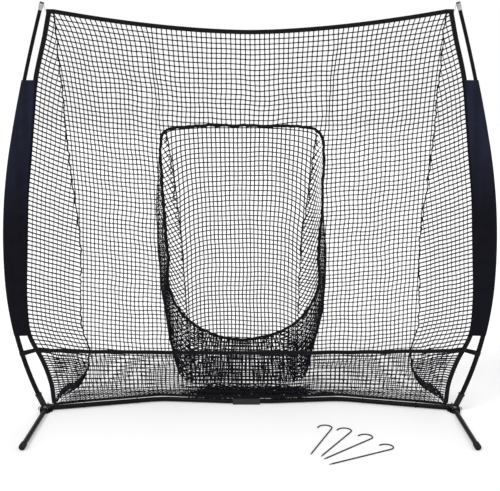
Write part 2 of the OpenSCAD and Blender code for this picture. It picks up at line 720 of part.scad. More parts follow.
module back_net() {
    grid = [for (f = net_rows) [for (j = [0:net_cols]) net_point(back_x(2 * j / net_cols - 1, f), f)]];
    edge = rim_r + seam_gap + 1;
    color(netting) difference() {
        sheet(grid, net_t);
        translate([-zone_shift, frame_y + net_depth + 100, 0]) rotate([90, 0, 0]) linear_extrude(net_depth + 100)
            polygon(zone_outline(zone_half + edge, zone_top + edge, zone_mid, zone_low - edge,
                zone_corner + edge, 2));
    }
}

// Edge of the back net at the height f, straight between the net's rows
function row_below(f, k = 0) = k >= len(net_rows) - 2 || f < net_rows[k + 1] ? k : row_below(f, k + 1);
function edge_point(f) = let (k = row_below(f), w = (f - net_rows[k]) / (net_rows[k + 1] - net_rows[k]))
    net_point(1, net_rows[k]) * (1 - w) + net_point(1, net_rows[k + 1]) * w;

module side_net(side) {
    cols = 3;
    color(netting) on_side(side) sheet([for (i = [0:binding_steps])
        [for (j = [0:cols]) let (f = i / binding_steps, w = j / cols, p = edge_point(f),
            b = [binding_x(f) - net_edge, frame_y, z_at(f)])
            b * (1 - w) + [p[0] + seam_gap, p[1], p[2]] * w]], net_t);
}

module lip_net() {
    rows = 6;
    cols = 24;
    low = corner_z + net_t / 2;
    // The lip ends just inside the side nets
    function half(w) = binding_x(f_of(low + (strap_z - low) * w)) - net_edge - lip_gap;
    color(netting) sheet([for (i = [0:rows]) [for (j = [0:cols])
        let (w = i / rows, x = (2 * j / cols - 1) * half(w))
        [x, frame_y * w + hem_y(x * half(0) / half(w)) * (1 - w), strap_line_z(x) * w + low * (1 - w)]]], net_t);
}

// Points of the opening's outline on the back net, moved away behind it by the depth d
function on_net(p, d) = let (x = p[0] - zone_shift, f = f_at(x, p[1]), q = net_point(x / seam_x(f), f))
    [x, q[1] + d, q[2]];

module strike_rim() {
    line = [for (p = zone_outline(zone_half, zone_top, zone_mid, zone_low, zone_corner, 2)) on_net(p, 0)];
    n = len(line);
    sides = 8;
    color(webbing_black) loft([for (i = [0:n - 1])
        let (d = unit(line[(i + 1) % n] - line[(i + n - 1) % n]), a = unit(cross(d, [0, 1, 0])), b = cross(a, d))
        [for (k = [0:sides - 1]) line[i] + rim_r * (cos(360 * k / sides) * a + sin(360 * k / sides) * b)]],
        ring = true);
}

// The pocket is one sheet sewn to the rim all round: u runs from -1 to 1 across it and v from 0 at the
// rim's top, down the back panel to the floor at floor_v, and forward and up to 1 at the rim's foot
floor_v = 0.8;
// How much narrower the panel is at the floor than at the top, and how far the sides bulge past the rim
panel_in = 50;
side_bulge = 60;
// Where the rim's sides end and its foot begins, as an angle below the widest point
foot_angle = 50;
// Below this height the pocket hangs straight down
straight_z = 250;
pocket_us = [-1, -0.97, -0.93, -0.88, -0.8, -0.66, -0.45, -0.2, 0, 0.2, 0.45, 0.66, 0.8, 0.88, 0.93, 0.97, 1];
pocket_vs = [0, 0.05, 0.1, 0.16, 0.23, 0.31, 0.4, 0.49, 0.58, 0.67, 0.75, 0.8, 0.85, 0.92, 1];
function rim_half(z) = z < zone_mid ? zone_half * sqrt(max(1 - ((zone_mid - z) / (zone_mid - zone_low))^2, 0))
    : z < zone_top - zone_corner ? zone_half
    : zone_half - zone_corner + sqrt(max(zone_corner^2 - (z - zone_top + zone_corner)^2, 0));
corner_cut = zone_corner * (1 - sqrt(0.5));
foot_half = zone_half * cos(foot_angle);
side_top_z = zone_top - corner_cut;
side_low_z = zone_mid - (zone_mid - zone_low) * sin(foot_angle);
function top_z(u) = let (x = abs(u) * (zone_half - corner_cut), over_x = max(x - zone_half + zone_corner, 0))
    zone_top - zone_corner + sqrt(zone_corner^2 - over_x^2);
function foot_z(u) = zone_mid - (zone_mid - zone_low) * sqrt(1 - (u * foot_half / zone_half)^2);
function bag_y(x, z) = hang_y(f_at(x, max(z, straight_z)));

module pocket_net() {
    start = rim_r + net_t / 2 + seam_gap;
    floor_z = net_floor + 4;
    function body_point(u, v) = let (
        w = min(v / floor_v, 1), w2 = max((v - floor_v) / (1 - floor_v), 0),
        half = w2 == 0 ? zone_half - corner_cut - (panel_in - corner_cut) * w
            : (zone_half - panel_in) * (1 - w2) + foot_half * w2,
        z = w2 == 0 ? top_z(u) * (1 - w) + floor_z * w : floor_z * (1 - w2) + foot_z(u) * w2,
        deep = pocket_depth * (w2 == 0 ? 1 - max(1 - 1.8 * w, 0)^2 : 1 - w2),
        x = u * half - zone_shift)
        [x, bag_y(x, z) + start + deep, z];
    function side_point(u, v) = let (z = side_top_z + (side_low_z - side_top_z) * v,
        x = sign(u) * rim_half(z) - zone_shift)
        [x, bag_y(x, z) + start, z];
    function point(u, v) = let (e = 1 - abs(u)^8, swell = 4 * e * (1 - e) * sin(180 * min(v / floor_v, 1)))
        side_point(u, v) * (1 - e) + body_point(u, v) * e + [sign(u) * side_bulge * swell, 0, 0];
    color(netting) sheet([for (v = pocket_vs) [for (u = pocket_us) point(u, v)]], net_t);
}

// ---- Ground stakes, lying on the floor: [place of the bend, heading] ----
stake_places = [[[416, -380], 69], [[509, -425], 61], [[599, -518], 45], [[676, -654], 30]];

module ground_stake(i) {
    point_len = 22;
    color(wire_grey) translate([stake_places[i][0][0], stake_places[i][0][1], stake_r])
        rotate([0, 0, stake_places[i][1]]) union() {
            rotate([0, -90, 0]) cylinder(r = stake_r, h = stake_len - point_len, $fn = 24);
            translate([point_len - stake_len, 0, 0]) rotate([0, -90, 0])
                cylinder(r1 = stake_r, r2 = 0.8, h = point_len, $fn = 24);
            translate([0, stake_hook_r, 0]) rotate([0, 0, -90]) rotate_extrude(angle = 180)
                translate([stake_hook_r, 0]) circle(stake_r, $fn = 24);
            translate([0, 2 * stake_hook_r, 0]) rotate([0, -90, 0]) cylinder(r = stake_r, h = stake_tail, $fn = 24);
        }
}

base_coupler();
base_tube(LEFT);  // left_base_tube
base_tube(RIGHT);  // right_base_tube
corner_bracket(LEFT);  // left_corner_bracket
corner_bracket(RIGHT);  // right_corner_bracket
base_bolts();
pole_socket(LEFT);  // left_pole_socket
pole_socket(RIGHT);  // right_pole_socket
leg(LEFT);  // left_leg
leg(RIGHT);  // right_leg
foot_cap(LEFT);  // left_foot_cap
foot_cap(RIGHT);  // right_foot_cap
leg_bolt(LEFT);  // left_leg_bolt
leg_bolt(RIGHT);  // right_leg_bolt
snap_button(LEFT);  // left_snap_button
snap_button(RIGHT);  // right_snap_button
pole_lower(LEFT);  // left_pole_lower
pole_lower(RIGHT);  // right_pole_lower
nested_section(LEFT, 1, middle_r);  // left_pole_middle
nested_section(RIGHT, 1, middle_r);  // right_pole_middle
nested_section(LEFT, 2, upper_r);  // left_pole_upper
nested_section(RIGHT, 2, upper_r);  // right_pole_upper
pole_tip(LEFT);  // left_pole_tip
pole_tip(RIGHT);  // right_pole_tip
tip_cap(LEFT);  // left_tip_cap
tip_cap(RIGHT);  // right_tip_cap
top_cord(LEFT);  // left_top_cord
top_cord(RIGHT);  // right_top_cord
sleeve(LEFT);  // left_sleeve
sleeve(RIGHT);  // right_sleeve
top_binding();
side_binding(LEFT);  // left_side_binding
side_binding(RIGHT);  // right_side_binding
bottom_binding();
front_strap();
strap_tab(LEFT);  // left_strap_tab
strap_tab(RIGHT);  // right_strap_tab
net_ties();
corner_tabs();
back_net();
side_net(LEFT);  // left_side_net
side_net(RIGHT);  // right_side_net
lip_net();
strike_rim();
pocket_net();
corner_ring(LEFT);  // left_corner_ring
corner_ring(RIGHT);  // right_corner_ring
guy_hook(LEFT);  // left_guy_hook
guy_hook(RIGHT);  // right_guy_hook
ground_stake(0);  // ground_stake_1
ground_stake(1);  // ground_stake_2
ground_stake(2);  // ground_stake_3
ground_stake(3);  // ground_stake_4
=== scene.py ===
import math

import bpy
import numpy as np
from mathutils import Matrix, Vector


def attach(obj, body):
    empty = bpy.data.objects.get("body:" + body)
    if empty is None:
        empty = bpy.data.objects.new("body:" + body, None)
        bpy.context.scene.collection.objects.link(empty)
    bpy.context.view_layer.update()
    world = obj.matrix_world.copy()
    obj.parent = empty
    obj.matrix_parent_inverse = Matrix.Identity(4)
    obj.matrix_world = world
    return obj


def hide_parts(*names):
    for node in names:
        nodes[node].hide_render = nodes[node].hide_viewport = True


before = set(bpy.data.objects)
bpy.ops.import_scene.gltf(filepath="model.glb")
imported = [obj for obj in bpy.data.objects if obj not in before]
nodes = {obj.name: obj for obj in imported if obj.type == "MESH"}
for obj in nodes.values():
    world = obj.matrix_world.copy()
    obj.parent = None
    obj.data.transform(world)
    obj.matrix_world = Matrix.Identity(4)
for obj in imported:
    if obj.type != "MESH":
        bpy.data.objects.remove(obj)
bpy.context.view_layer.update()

LEFT, RIGHT = -1, 1
SIDES = {LEFT: "left", RIGHT: "right"}
X, Y, Z = (1, 0, 0), (0, 1, 0), (0, 0, 1)

# ---- Sizes of the CAD model, in metres and degrees ----
# Base and brackets
corner_x, plate_in, plate_top, bolt_head_h = 1.100, 0.040, 0.032, 0.004
flat_x, bend_x, bend_y = 0.115, 0.495, 0.038
frame_y = -0.115
tube_r = 0.0125
# Poles: three arcs each, with their lengths, their bends and how far each leans out at its foot
pole_start_z = 0.020
lengths, bends, lean = [0.720, 0.720, 0.685], [23.4, 13.6, 4.8], [25.5, 2.1, -11.5]
radii = [length / math.radians(bend) for length, bend in zip(lengths, bends)]
# Webbing and netting
webbing_w, webbing_t, net_t = 0.025, 0.0025, 0.0012
hem_gap, seam_gap, hem_stand = 0.0004, 0.0003, 0.0009
net_floor, net_depth, net_drop = 0.012, 0.300, 0.017
top_webbing_h, top_sag = 0.022, 0.101
strap_z, strap_h, strap_rise = 0.332, 0.022, 0.014
hem_x, hem_leave_x = corner_x - plate_in - 0.004, 0.900
tie_places, tie_wire, tie_low = (0.900, 0.620), 0.0012, 0.0018
tab_w, tab_t = 0.010, 0.002
sleeve_low, sleeve_top = 0.420, 1.752
# Strike zone and pocket
zone_half, zone_shift, zone_corner = 0.435, 0.042, 0.075
zone_top, zone_mid, zone_low = 1.520, 0.717, 0.317
rim_r, pocket_depth = 0.006, 0.130

# ---- Looks of the net, in metres ----
CELL_X, CELL_Z = 0.0243, 0.0252
BACK_TWINE, SIDE_TWINE, GATHER_TWINE = 0.0025, 0.0032, 0.0024
POCKET_TWINE, HEAP_TWINE, LIP_TWINE = 0.0027, 0.0024, 0.0020
KNOT, BETWEEN_KNOTS = 1.22, 0.92  # thickness of a strand, as a share of its twine
GATHER_LOW, POCKET_LIFT = 0.004, 0.004  # lowest twine of the gathers, and the pocket over the back net's foot
WIDE_ROWS, NARROW_ROWS = (0.0035, 0.0215), (0.003, 0.019)  # rows of stitches across 25 and 22 mm webbing


# ---- Small helpers ----
def clamp(value):
    return np.clip(value, 0, 1)


def bell(value, middle, width):
    """1 at the middle, and falling smoothly on both sides."""
    return np.exp(-((value - middle) / width) ** 2)


def line_through(a, x0, y0, x1, y1):
    """Height at a of the straight line through two points."""
    return y0 + (y1 - y0) * (a - x0) / (x1 - x0)


def xyz(x, y, z):
    """Points from their coordinates, each an array or one number for all."""
    return np.stack(np.broadcast_arrays(x, y, z), -1)


def unit(v):
    return v / np.maximum(np.linalg.norm(v, axis=-1, keepdims=True), 1e-12)


def running(steps):
    return np.concatenate([[0], np.cumsum(steps)])


def arc_length(p):
    """How far each point of a polyline lies along it."""
    return running(np.linalg.norm(np.diff(p, axis=0), axis=1))


def length_of(p):
    return arc_length(p)[-1]


def resample(p, n):
    """n points at equal distances along a polyline."""
    s = arc_length(p)
    t = np.linspace(0, s[-1], n)
    return np.stack([np.interp(t, s, p[:, k]) for k in range(p.shape[1])], -1)


def curve(pairs, f):
    """Smooth curve through [f, millimetres] pairs, in metres."""
    p = np.array(pairs, float)
    n = len(p)
    a, b = np.maximum(np.arange(n) - 1, 0), np.minimum(np.arange(n) + 1, n - 1)
    slope = (p[b, 1] - p[a, 1]) / (p[b, 0] - p[a, 0])
    f = np.asarray(f, float)
    i = np.clip(np.searchsorted(p[:, 0], f, side="right") - 1, 0, n - 2)
    h = p[i + 1, 0] - p[i, 0]
    s = (f - p[i, 0]) / h
    return 0.001 * (
        p[i, 1] * (2 * s**3 - 3 * s**2 + 1)
        + slope[i] * h * (s**3 - 2 * s**2 + s)
        + p[i + 1, 1] * (3 * s**2 - 2 * s**3)
        + slope[i + 1] * h * (s**3 - s**2)
    )


def ripple(seed, short, long, n=7):
    """Smooth, repeatable unevenness over two coordinates, about -1 to 1, with waves from short to long."""
    r = np.random.RandomState(seed)
    k = 2 * np.pi / r.uniform(short, long, n)
    a = r.uniform(0, 2 * np.pi, n)
    p = r.uniform(0, 2 * np.pi, n)

    def value(x, z):
        x, z = np.broadcast_arrays(np.asarray(x, float), np.asarray(z, float))
        t = x[..., None] * np.cos(a) * k + z[..., None] * np.sin(a) * k + p
        return np.sin(t).sum(-1) / math.sqrt(n)

    return value


# ---- Where the poles and the base tubes run ----
def arc_point(centre, r, a):
    """Point of a pole's arc where the pole leans outwards by a degrees."""
    return np.array([centre[0] + r * math.cos(math.radians(a)), centre[1] - r * math.sin(math.radians(a))])


centres = [np.array([corner_x, pole_start_z]) - arc_point([0, 0], radii[0], lean[0])]
for i in (1, 2):
    centres.append(arc_point(centres[i - 1], radii[i - 1], lean[i]) - arc_point([0, 0], radii[i], lean[i]))
joint_z = [arc_point(centres[i], radii[i], lean[i + 1])[1] for i in (0, 1)]
tip_point = arc_point(centres[2], radii[2], lean[2] - bends[2])


def pole_x(z):
    z = np.asarray(z, float)
    x = [c[0] + r * np.sqrt(np.maximum(1 - ((c[1] - z) / r) ** 2, 0)) for c, r in zip(centres, radii)]
    return np.where(z < joint_z[0], x[0], np.where(z < joint_z[1], x[1], x[2]))


def pole_lean(z):
    """Angle in radians that a pole leans outwards at the height z."""
    i = 0 if z < joint_z[0] else 1 if z < joint_z[1] else 2
    return math.asin((centres[i][1] - z) / radii[i])


def base_y(x):
    a = np.abs(np.asarray(x, float))
    middle = line_through(a, flat_x, 0, bend_x, bend_y)
    outer = line_through(a, bend_x, bend_y, corner_x, frame_y)
    return np.where(a < flat_x, 0, np.where(a < bend_x, middle, outer))


def hem_y(x):
    """The bottom binding follows the base tubes, and leaves them near the corners."""
    a = np.abs(np.asarray(x, float))
    to_corner = line_through(a, hem_leave_x, float(base_y(hem_leave_x)), hem_x, frame_y)
    return np.where(a < hem_leave_x, base_y(a), to_corner)


# ---- Where the back net hangs: f is 0 at its foot and 1 at its top ----
net_top = tip_point[1] - net_drop
net_low = plate_top + hem_gap
corner_z = net_low + webbing_w + seam_gap
net_height = net_top - net_floor
side_height = net_top - corner_z
hem_columns = [0, 1 / 11, 5 / 11, 9 / 11, 1], [0, flat_x, bend_x, hem_leave_x, hem_x - webbing_w]
# How far the side bindings lie from the poles, and the back net's seams from the bindings
binding_inset = [[0, 84], [0.05, 110], [0.11, 110], [0.17, 82], [0.2, 79], [0.28, 94], [0.38, 111],
                 [0.46, 116], [0.54, 113], [0.64, 108], [0.74, 90], [0.84, 69], [0.94, 67], [1, 60]]
seam_inset = [[0, 24], [0.02, 72], [0.05, 119], [0.08, 154], [0.14, 205], [0.3, 236], [0.46, 228],
              [0.64, 166], [0.72, 137], [0.82, 111], [0.9, 66], [0.95, 40], [1, 12]]


def z_at(f):
    return corner_z + f * side_height


def f_of(z):
    return (z - corner_z) / side_height


def binding_x(f):
    return pole_x(z_at(f)) - curve(binding_inset, f)


def seam_x(f):
    return binding_x(f) - curve(seam_inset, f)


def hang_y(f):
    return frame_y + net_depth * (np.maximum(1 - np.asarray(f, float), 0) / 0.9) ** 0.8


def sag(f):
    return top_sag * (1 - (1 - f) ** 4)


def droop(u):
    """Share of the sag across the net: 1 in the middle and 0 at its seams, where u is -1 and 1."""
    return 1 - np.abs(u) ** 1.7


def row_z(u, f):
    return net_floor + f * net_height - sag(f) * droop(u)


def f_at(x, z):
    """The share of the height at which the net's row passes through x, z."""
    f0 = (z - net_floor) / net_height
    f = f0
    for _ in range(5):
        f = f0 + sag(f) * droop(x / seam_x(clamp(f))) / net_height
    return f


def net_point(x, f):
    """Point of the hanging back net at the distance x from the middle: f is 1 at the top, 0 at the floor and
    -1 at the bottom binding."""
    x, f = np.broadcast_arrays(np.asarray(x, float), np.asarray(f, float))
    g = np.maximum(f, 0)
    u = x / seam_x(g)
    hung = xyz(x, hang_y(g), row_z(u, g))
    hem = np.sign(u) * np.interp(np.abs(u), *hem_columns)
    sewn = xyz(hem, hem_y(hem) + webbing_t / 2 + hem_stand + net_t / 2, net_low + webbing_w / 2)
    w = np.maximum(-f, 0)[..., None]
    return hung * (1 - w) + sewn * w


belly = ripple(3, 0.35, 0.9)
slack_x = ripple(5, 0.12, 0.5)
slack_z = ripple(8, 0.12, 0.45)
fine = ripple(11, 0.04, 0.12)
CREASES = ((-0.475, -0.500), (0.395, 0.455))  # x at the opening's upper corners and at the top binding


def net_at(x, f):
    """The back net as it hangs: net_point with the slack of a real net, still at its sewn edges."""
    out = net_point(x, f)
    g = clamp(f)
    edge = clamp((seam_x(g) - np.abs(x)) / 0.15) * clamp((1 - g) / 0.12) * clamp((f + 1) / 0.3)
    lift = clamp(g / 0.1)
    x, z = np.asarray(x), out[..., 2]
    out = out + xyz((0.0034 * slack_x(x, z) + 0.0008 * fine(x, z)) * edge, 0.016 * belly(x, z) * edge * lift,
                    (0.0036 * slack_z(x, z) * lift + 0.0008 * fine(z, x)) * edge)
    # A soft crease runs down from the top binding to each upper corner of the opening
    for corner, top in CREASES:
        line = corner + (top - corner) * clamp((z - zone_top) / 0.5)
        fall = bell(x, line, 0.045) * clamp((z - zone_top + 0.05) / 0.1) * clamp((1 - g) / 0.04)
        out[..., 0] -= 0.36 * (x - line) * fall
        out[..., 1] -= 0.012 * fall
    return out


# ---- Mesh helpers ----
def add_object(name, data):
    obj = bpy.data.objects.new(name, data)
    bpy.context.scene.collection.objects.link(obj)
    return obj


def mesh_object(name, verts, quads, uvs, material, smooth=True):
    """An object from vertices, an array of quads, and UVs per corner in metres or None."""
    mesh = bpy.data.meshes.new(name)
    n, k = quads.shape
    mesh.vertices.add(len(verts))
    mesh.vertices.foreach_set("co", np.asarray(verts, float).ravel())
    mesh.loops.add(n * k)
    mesh.loops.foreach_set("vertex_index", quads.ravel().astype(np.int32))
    mesh.polygons.add(n)
    mesh.polygons.foreach_set("loop_start", np.arange(0, n * k, k, dtype=np.int32))
    mesh.polygons.foreach_set("loop_total", np.full(n, k, dtype=np.int32))
    mesh.update(calc_edges=True)
    if uvs is not None:
        mesh.uv_layers.new(name="metres").data.foreach_set("uv", np.asarray(uvs, float).ravel())
    mesh.polygons.foreach_set("use_smooth", [smooth] * n)
    mesh.validate()
    mesh.materials.append(material)
    return add_object(name, mesh)


def joined(name, parts, material):
    """One object from several lots of vertices, quads and UVs."""
    verts, quads, uvs = zip(*parts)
    starts = running([len(v) for v in verts])
    quads = [q + start for q, start in zip(quads, starts)]
    return mesh_object(name, np.vstack(verts), np.vstack(quads), np.vstack(uvs), material)


def grid_quads(n, m, closed=False, wrapped=True):
    """Row and column of each quad's first corner in a grid of n by m points, and the quads. The last row
    joins the first where the grid is closed, and the last column the first where it is wrapped."""
    i, j = np.meshgrid(np.arange(n if closed else n - 1), np.arange(m if wrapped else m - 1), indexing="ij")
    i2, j2 = (i + 1) % n, (j + 1) % m
    return i, j, np.stack([i * m + j, i * m + j2, i2 * m + j2, i2 * m + j], -1).reshape(-1, 4)


def grid_uvs(i, j, along, across):
    """UVs of a grid's quads: along grows from row to row. across is one row's, or a table with all rows."""
    corners = ((i, j), (i, j + 1), (i + 1, j + 1), (i + 1, j))
    pairs = [(along[a], across[a, b] if across.ndim == 2 else across[b]) for a, b in corners]
    return np.stack([np.stack(pair, -1) for pair in pairs], -2).reshape(-1, 2)


def circle(r, sides):
    a = 2 * np.pi * np.arange(sides) / sides
    return r * np.stack([np.cos(a), np.sin(a)], -1)


def swept(path, section, ref, closed=False, twist=None, scale=None, across=None):
    """Vertices, quads and UVs of a section swept along a path, with its first coordinate along ref. V grows
    round the section, unless across gives it."""
    path = np.asarray(path, float)
    if closed:
        tangent = unit(np.roll(path, -1, 0) - np.roll(path, 1, 0))
    else:
        tangent = unit(np.gradient(path, axis=0))
    ref = np.broadcast_to(np.asarray(ref, float), path.shape)
    side = unit(ref - (ref * tangent).sum(-1, keepdims=True) * tangent)
    up = np.cross(tangent, side)
    if twist is not None:
        c, s = np.cos(twist)[:, None], np.sin(twist)[:, None]
        side, up = c * side + s * up, c * up - s * side
    sections = np.broadcast_to(section, (len(path), *section.shape))
    if scale is not None:
        sections = sections * np.asarray(scale, float)[:, None, None]
    verts = path[:, None] + sections[..., :1] * side[:, None] + sections[..., 1:] * up[:, None]
    i, j, quads = grid_quads(len(path), len(section), closed)
    along = arc_length(np.vstack([path, path[:1]]) if closed else path)
    if across is None:
        across = arc_length(np.vstack([sections[0], sections[0][:1]]))
    return verts.reshape(-1, 3), quads, grid_uvs(i, j, along, across)


def tube(name, path, r, material, ref, sides, closed=False, scale=None):
    """A round cord or rope along a path, with round ends unless it is closed."""
    if not closed:
        d0, d1 = unit(path[0] - path[1]), unit(path[-1] - path[-2])
        grow = np.array([0.92, 0.7, 0.35, 0.01])
        reach = np.sqrt(1 - grow**2)
        head = path[0] + d0 * (reach * r * scale[0])[:, None]
        tail = path[-1] + d1 * (reach * r * scale[-1])[:, None]
        path = np.vstack([head[::-1], path, tail])
        scale = np.concatenate([grow[::-1] * scale[0], scale, grow * scale[-1]])
    return mesh_object(name, *swept(path, circle(r, sides), ref, closed=closed, scale=scale), material)


def strip(name, path, width_dir, w, t, material, twist=None):
    """Webbing: a flat band with rounded edges, w wide along width_dir and t thick. V grows across it."""
    b = min(0.45 * t, 0.0011)
    half = [(-w / 2, -t / 2 + b), (-w / 2 + 0.6 * b, -t / 2), (-w / 4, -t / 2),
            (0, -t / 2), (w / 4, -t / 2), (w / 2 - 0.6 * b, -t / 2)]
    section = np.array(half + [(-x, -y) for x, y in half])
    across = np.append(section[:, 0], section[0, 0]) + w / 2
    return mesh_object(name, *swept(path, section, width_dir, twist=twist, across=across), material)


def kept_runs(line, value):
    """The runs of a polyline where value is positive, with the places where it crosses zero added, and the
    numbers of their points, -1 for an added one."""
    runs, run = [], []
    for i in range(len(line)):
        if value[i] > 0:
            if not run and i > 0:
                w = value[i] / (value[i] - value[i - 1])
                run.append((line[i] * (1 - w) + line[i - 1] * w, -1))
            run.append((line[i], i))
        elif run:
            w = value[i - 1] / (value[i - 1] - value[i])
            run.append((line[i - 1] * (1 - w) + line[i] * w, -1))
            runs.append(run)
            run = []
    if run:
        runs.append(run)
    return [(np.array([p for p, _ in r]), np.array([k for _, k in r])) for r in runs if len(r) > 2]


def knots(index):
    """Every second point of a strand is a knot."""
    return (index >= 0) & (index % 2 == 0)


class Netting:
    """Twine of one net: every strand is a thin tube that thickens where it crosses another."""

    def __init__(self, r):
        self.section = circle(r, 4)
        self.parts = []
        self.length = 0.0

    def strand(self, line, ref, thick=1.0, at_knot=None):
        if len(line) < 2:
            return
        if at_knot is None:
            at_knot = knots(np.arange(len(line)))
        scale = np.where(at_knot, KNOT, BETWEEN_KNOTS) * thick
        self.parts.append(swept(line, self.section, ref, scale=scale))
        self.length += length_of(line)

    def lines(self, place, a, b, keep, ref, thick=1.0):
        """A strand through the points place(a, b), kept where keep(a, b) is positive."""
        for run, index in kept_runs(place(a, b), keep(a, b)):
            self.strand(run, ref, thick, knots(index))

    def declare(self, obj, width, height, rests_on, pieces=()):
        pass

    def build(self, name):
        return joined(name, self.parts, twine)


# ---- Materials ----
class Nodes:
    """The nodes of a material or of the world, with short names for what the materials share."""

    def __init__(self, owner, shader="Principled BSDF", **values):
        owner.use_nodes = True
        self.owner = owner
        self.tree = owner.node_tree
        self.shader = self.tree.nodes[shader]
        self.normal = None
        self.set(**values)

    def feed(self, socket, value):
        """Links a socket to another node's output, or sets it to a value."""
        if isinstance(value, bpy.types.NodeSocket):
            self.tree.links.new(value, socket)
        elif socket.type == "RGBA":
            socket.default_value = (*value, 1)
        else:
            socket.default_value = value

    def set(self, **values):
        for key, value in values.items():
            self.feed(self.shader.inputs[key.replace("_", " ")], value)

    def add(self, kind, **inputs):
        node = self.tree.nodes.new("ShaderNode" + kind)
        for key, value in inputs.items():
            self.feed(node.inputs[key.replace("_", " ")], value)
        return node

    def coords(self, kind="Object", stretch=(1, 1, 1)):
        return self.add("Mapping", Vector=self.add("TexCoord").outputs[kind], Scale=stretch).outputs["Vector"]

    def noise(self, scale, detail=2.0, rough=0.5, stretch=(1, 1, 1)):
        vector = self.coords(stretch=stretch)
        return self.add("TexNoise", Vector=vector, Scale=scale, Detail=detail, Roughness=rough).outputs["Fac"]

    def math(self, operation, *values, clamped=False):
        node = self.add("Math")
        node.operation = operation
        node.use_clamp = clamped
        for socket, value in zip(node.inputs, values):
            self.feed(socket, value)
        return node.outputs[0]

    def excess(self, a, b, gain):
        """How far a is above b, times gain, from 0 to 1."""
        return self.math("MULTIPLY", self.math("SUBTRACT", a, b, clamped=True), gain, clamped=True)

    def ramp(self, value, *stops):
        """Colours along a value: each stop is its place and its red, green and blue."""
        node = self.add("ValToRGB", Fac=value)
        elements = node.color_ramp.elements
        while len(elements) < len(stops):
            elements.new(0.5)
        for element, (place, *colour) in zip(elements, stops):
            element.position = place
            element.color = (*colour, 1)
        return node.outputs["Color"]

    def mix(self, share, a, b):
        node = self.add("Mix")
        node.data_type = "RGBA"
        for number, value in ((0, share), (6, a), (7, b)):
            self.feed(node.inputs[number], value)
        return node.outputs[2]

    def rough(self, value, low, high):
        self.set(Roughness=self.ramp(value, (0.3, low, low, low), (0.7, high, high, high)))

    def bump(self, height, distance, strength):
        """Adds fine relief to the relief that is there already."""
        node = self.add("Bump", Height=height, Strength=strength, Distance=distance)
        if self.normal is not None:
            self.feed(node.inputs["Normal"], self.normal)
        self.normal = node.outputs["Normal"]
        self.set(Normal=self.normal)

    def weave(self, pitch, uv, depth, strength):
        """Plain weave: two crossed waves that swap sides from thread to thread."""
        a, b = [self.math("SINE", self.math("MULTIPLY", axis, math.pi / pitch)) for axis in self.axes(uv)]
        over = self.math("MULTIPLY", a, b)
        threads = self.math("MAXIMUM", self.math("ABSOLUTE", a), self.math("ABSOLUTE", b))
        height = self.math("ADD", self.math("MULTIPLY", threads, 0.6), self.math("MULTIPLY", over, 0.4))
        self.bump(height, depth, strength)
        return over

    def axes(self, vector):
        return self.add("SeparateXYZ", Vector=vector).outputs[0:2]

    def stitches(self, uv, rows, stitch=0.0045, thread=0.0011):
        """1 on the threads of the stitch rows, which run along U at the given distances across."""
        run, across = self.axes(uv)
        dash = self.math("LESS_THAN", self.math("FRACT", self.math("DIVIDE", run, stitch)), 0.78)
        near = [self.math("ABSOLUTE", self.math("SUBTRACT", across, row)) for row in rows]
        threads = [self.math("LESS_THAN", distance, thread / 2) for distance in near]
        return self.math("MULTIPLY", self.math("MAXIMUM", *threads), dash)


def material(name, **values):
    return Nodes(bpy.data.materials.new(name), **values)


def plain(name, specks, shades, gloss, rough, grain, depth, strength, stretch=(1, 1, 1), **values):
    """Three noises: specks choose between the shades, gloss between two roughnesses, and grain is relief."""
    m = material(name, **values)
    m.set(Base_Color=m.ramp(m.noise(*specks), *shades))
    m.rough(m.noise(*gloss), *rough)
    m.bump(m.noise(*grain, stretch=stretch), depth, strength)
    return m


def tube_paint():
    shades = ((0.30, 0.0026, 0.0026, 0.0032), (0.62, 0.0046, 0.0046, 0.0054), (0.80, 0.014, 0.014, 0.016))
    m = plain("tube_paint", (38, 5, 0.7), shades, (14, 3), (0.26, 0.40), (650, 2), 0.00008, 0.6,
                    Specular_IOR_Level=0.09)
    m.bump(m.noise(30, 4), 0.0002, 0.35)
    return m


def bracket_paint():
    shades = ((0.3, 0.007, 0.007, 0.008), (0.66, 0.012, 0.012, 0.013), (0.82, 0.045, 0.045, 0.045))
    return plain("bracket_paint", (60, 5, 0.65), shades, (25, 3), (0.42, 0.62), (900, 3, 0.6), 0.00012, 0.8,
                 Specular_IOR_Level=0.20)


def coupler_plastic():
    shades = ((0.3, 0.012, 0.012, 0.014), (0.7, 0.021, 0.021, 0.023))
    return plain("coupler_plastic", (45, 4, 0.6), shades, (60, 3), (0.38, 0.52), (1400, 2), 0.00006, 0.7,
                 Specular_IOR_Level=0.3)


def hardware():
    shades = ((0.3, 0.50, 0.51, 0.53), (0.7, 0.68, 0.69, 0.71))
    return plain("hardware", (90, 4), shades, (220, 3), (0.24, 0.42), (700, 2), 0.00004, 0.5,
                 stretch=(1, 1, 0.15), Metallic=1.0)


def ferrule():
    shades = ((0.3, 0.32, 0.33, 0.34), (0.7, 0.47, 0.48, 0.49))
    return plain("ferrule", (70, 3), shades, (140, 3), (0.16, 0.30), (900, 1), 0.00003, 0.6,
                 stretch=(0.1, 0.1, 1), Metallic=1.0)


def tip_cap():
    shades = ((0.3, 0.045, 0.045, 0.047), (0.7, 0.080, 0.080, 0.083))
    return plain("tip_cap", (120, 4), shades, (90, 3), (0.40, 0.58), (1200, 2), 0.00006, 0.6,
                 Specular_IOR_Level=0.4)


def foot_rubber():
    shades = ((0.3, 0.006, 0.006, 0.007), (0.65, 0.011, 0.011, 0.012), (0.8, 0.032, 0.031, 0.030))
    return plain("foot_rubber", (70, 5, 0.7), shades, (50, 3), (0.62, 0.82), (1100, 3), 0.00012, 0.8,
                 Specular_IOR_Level=0.20)


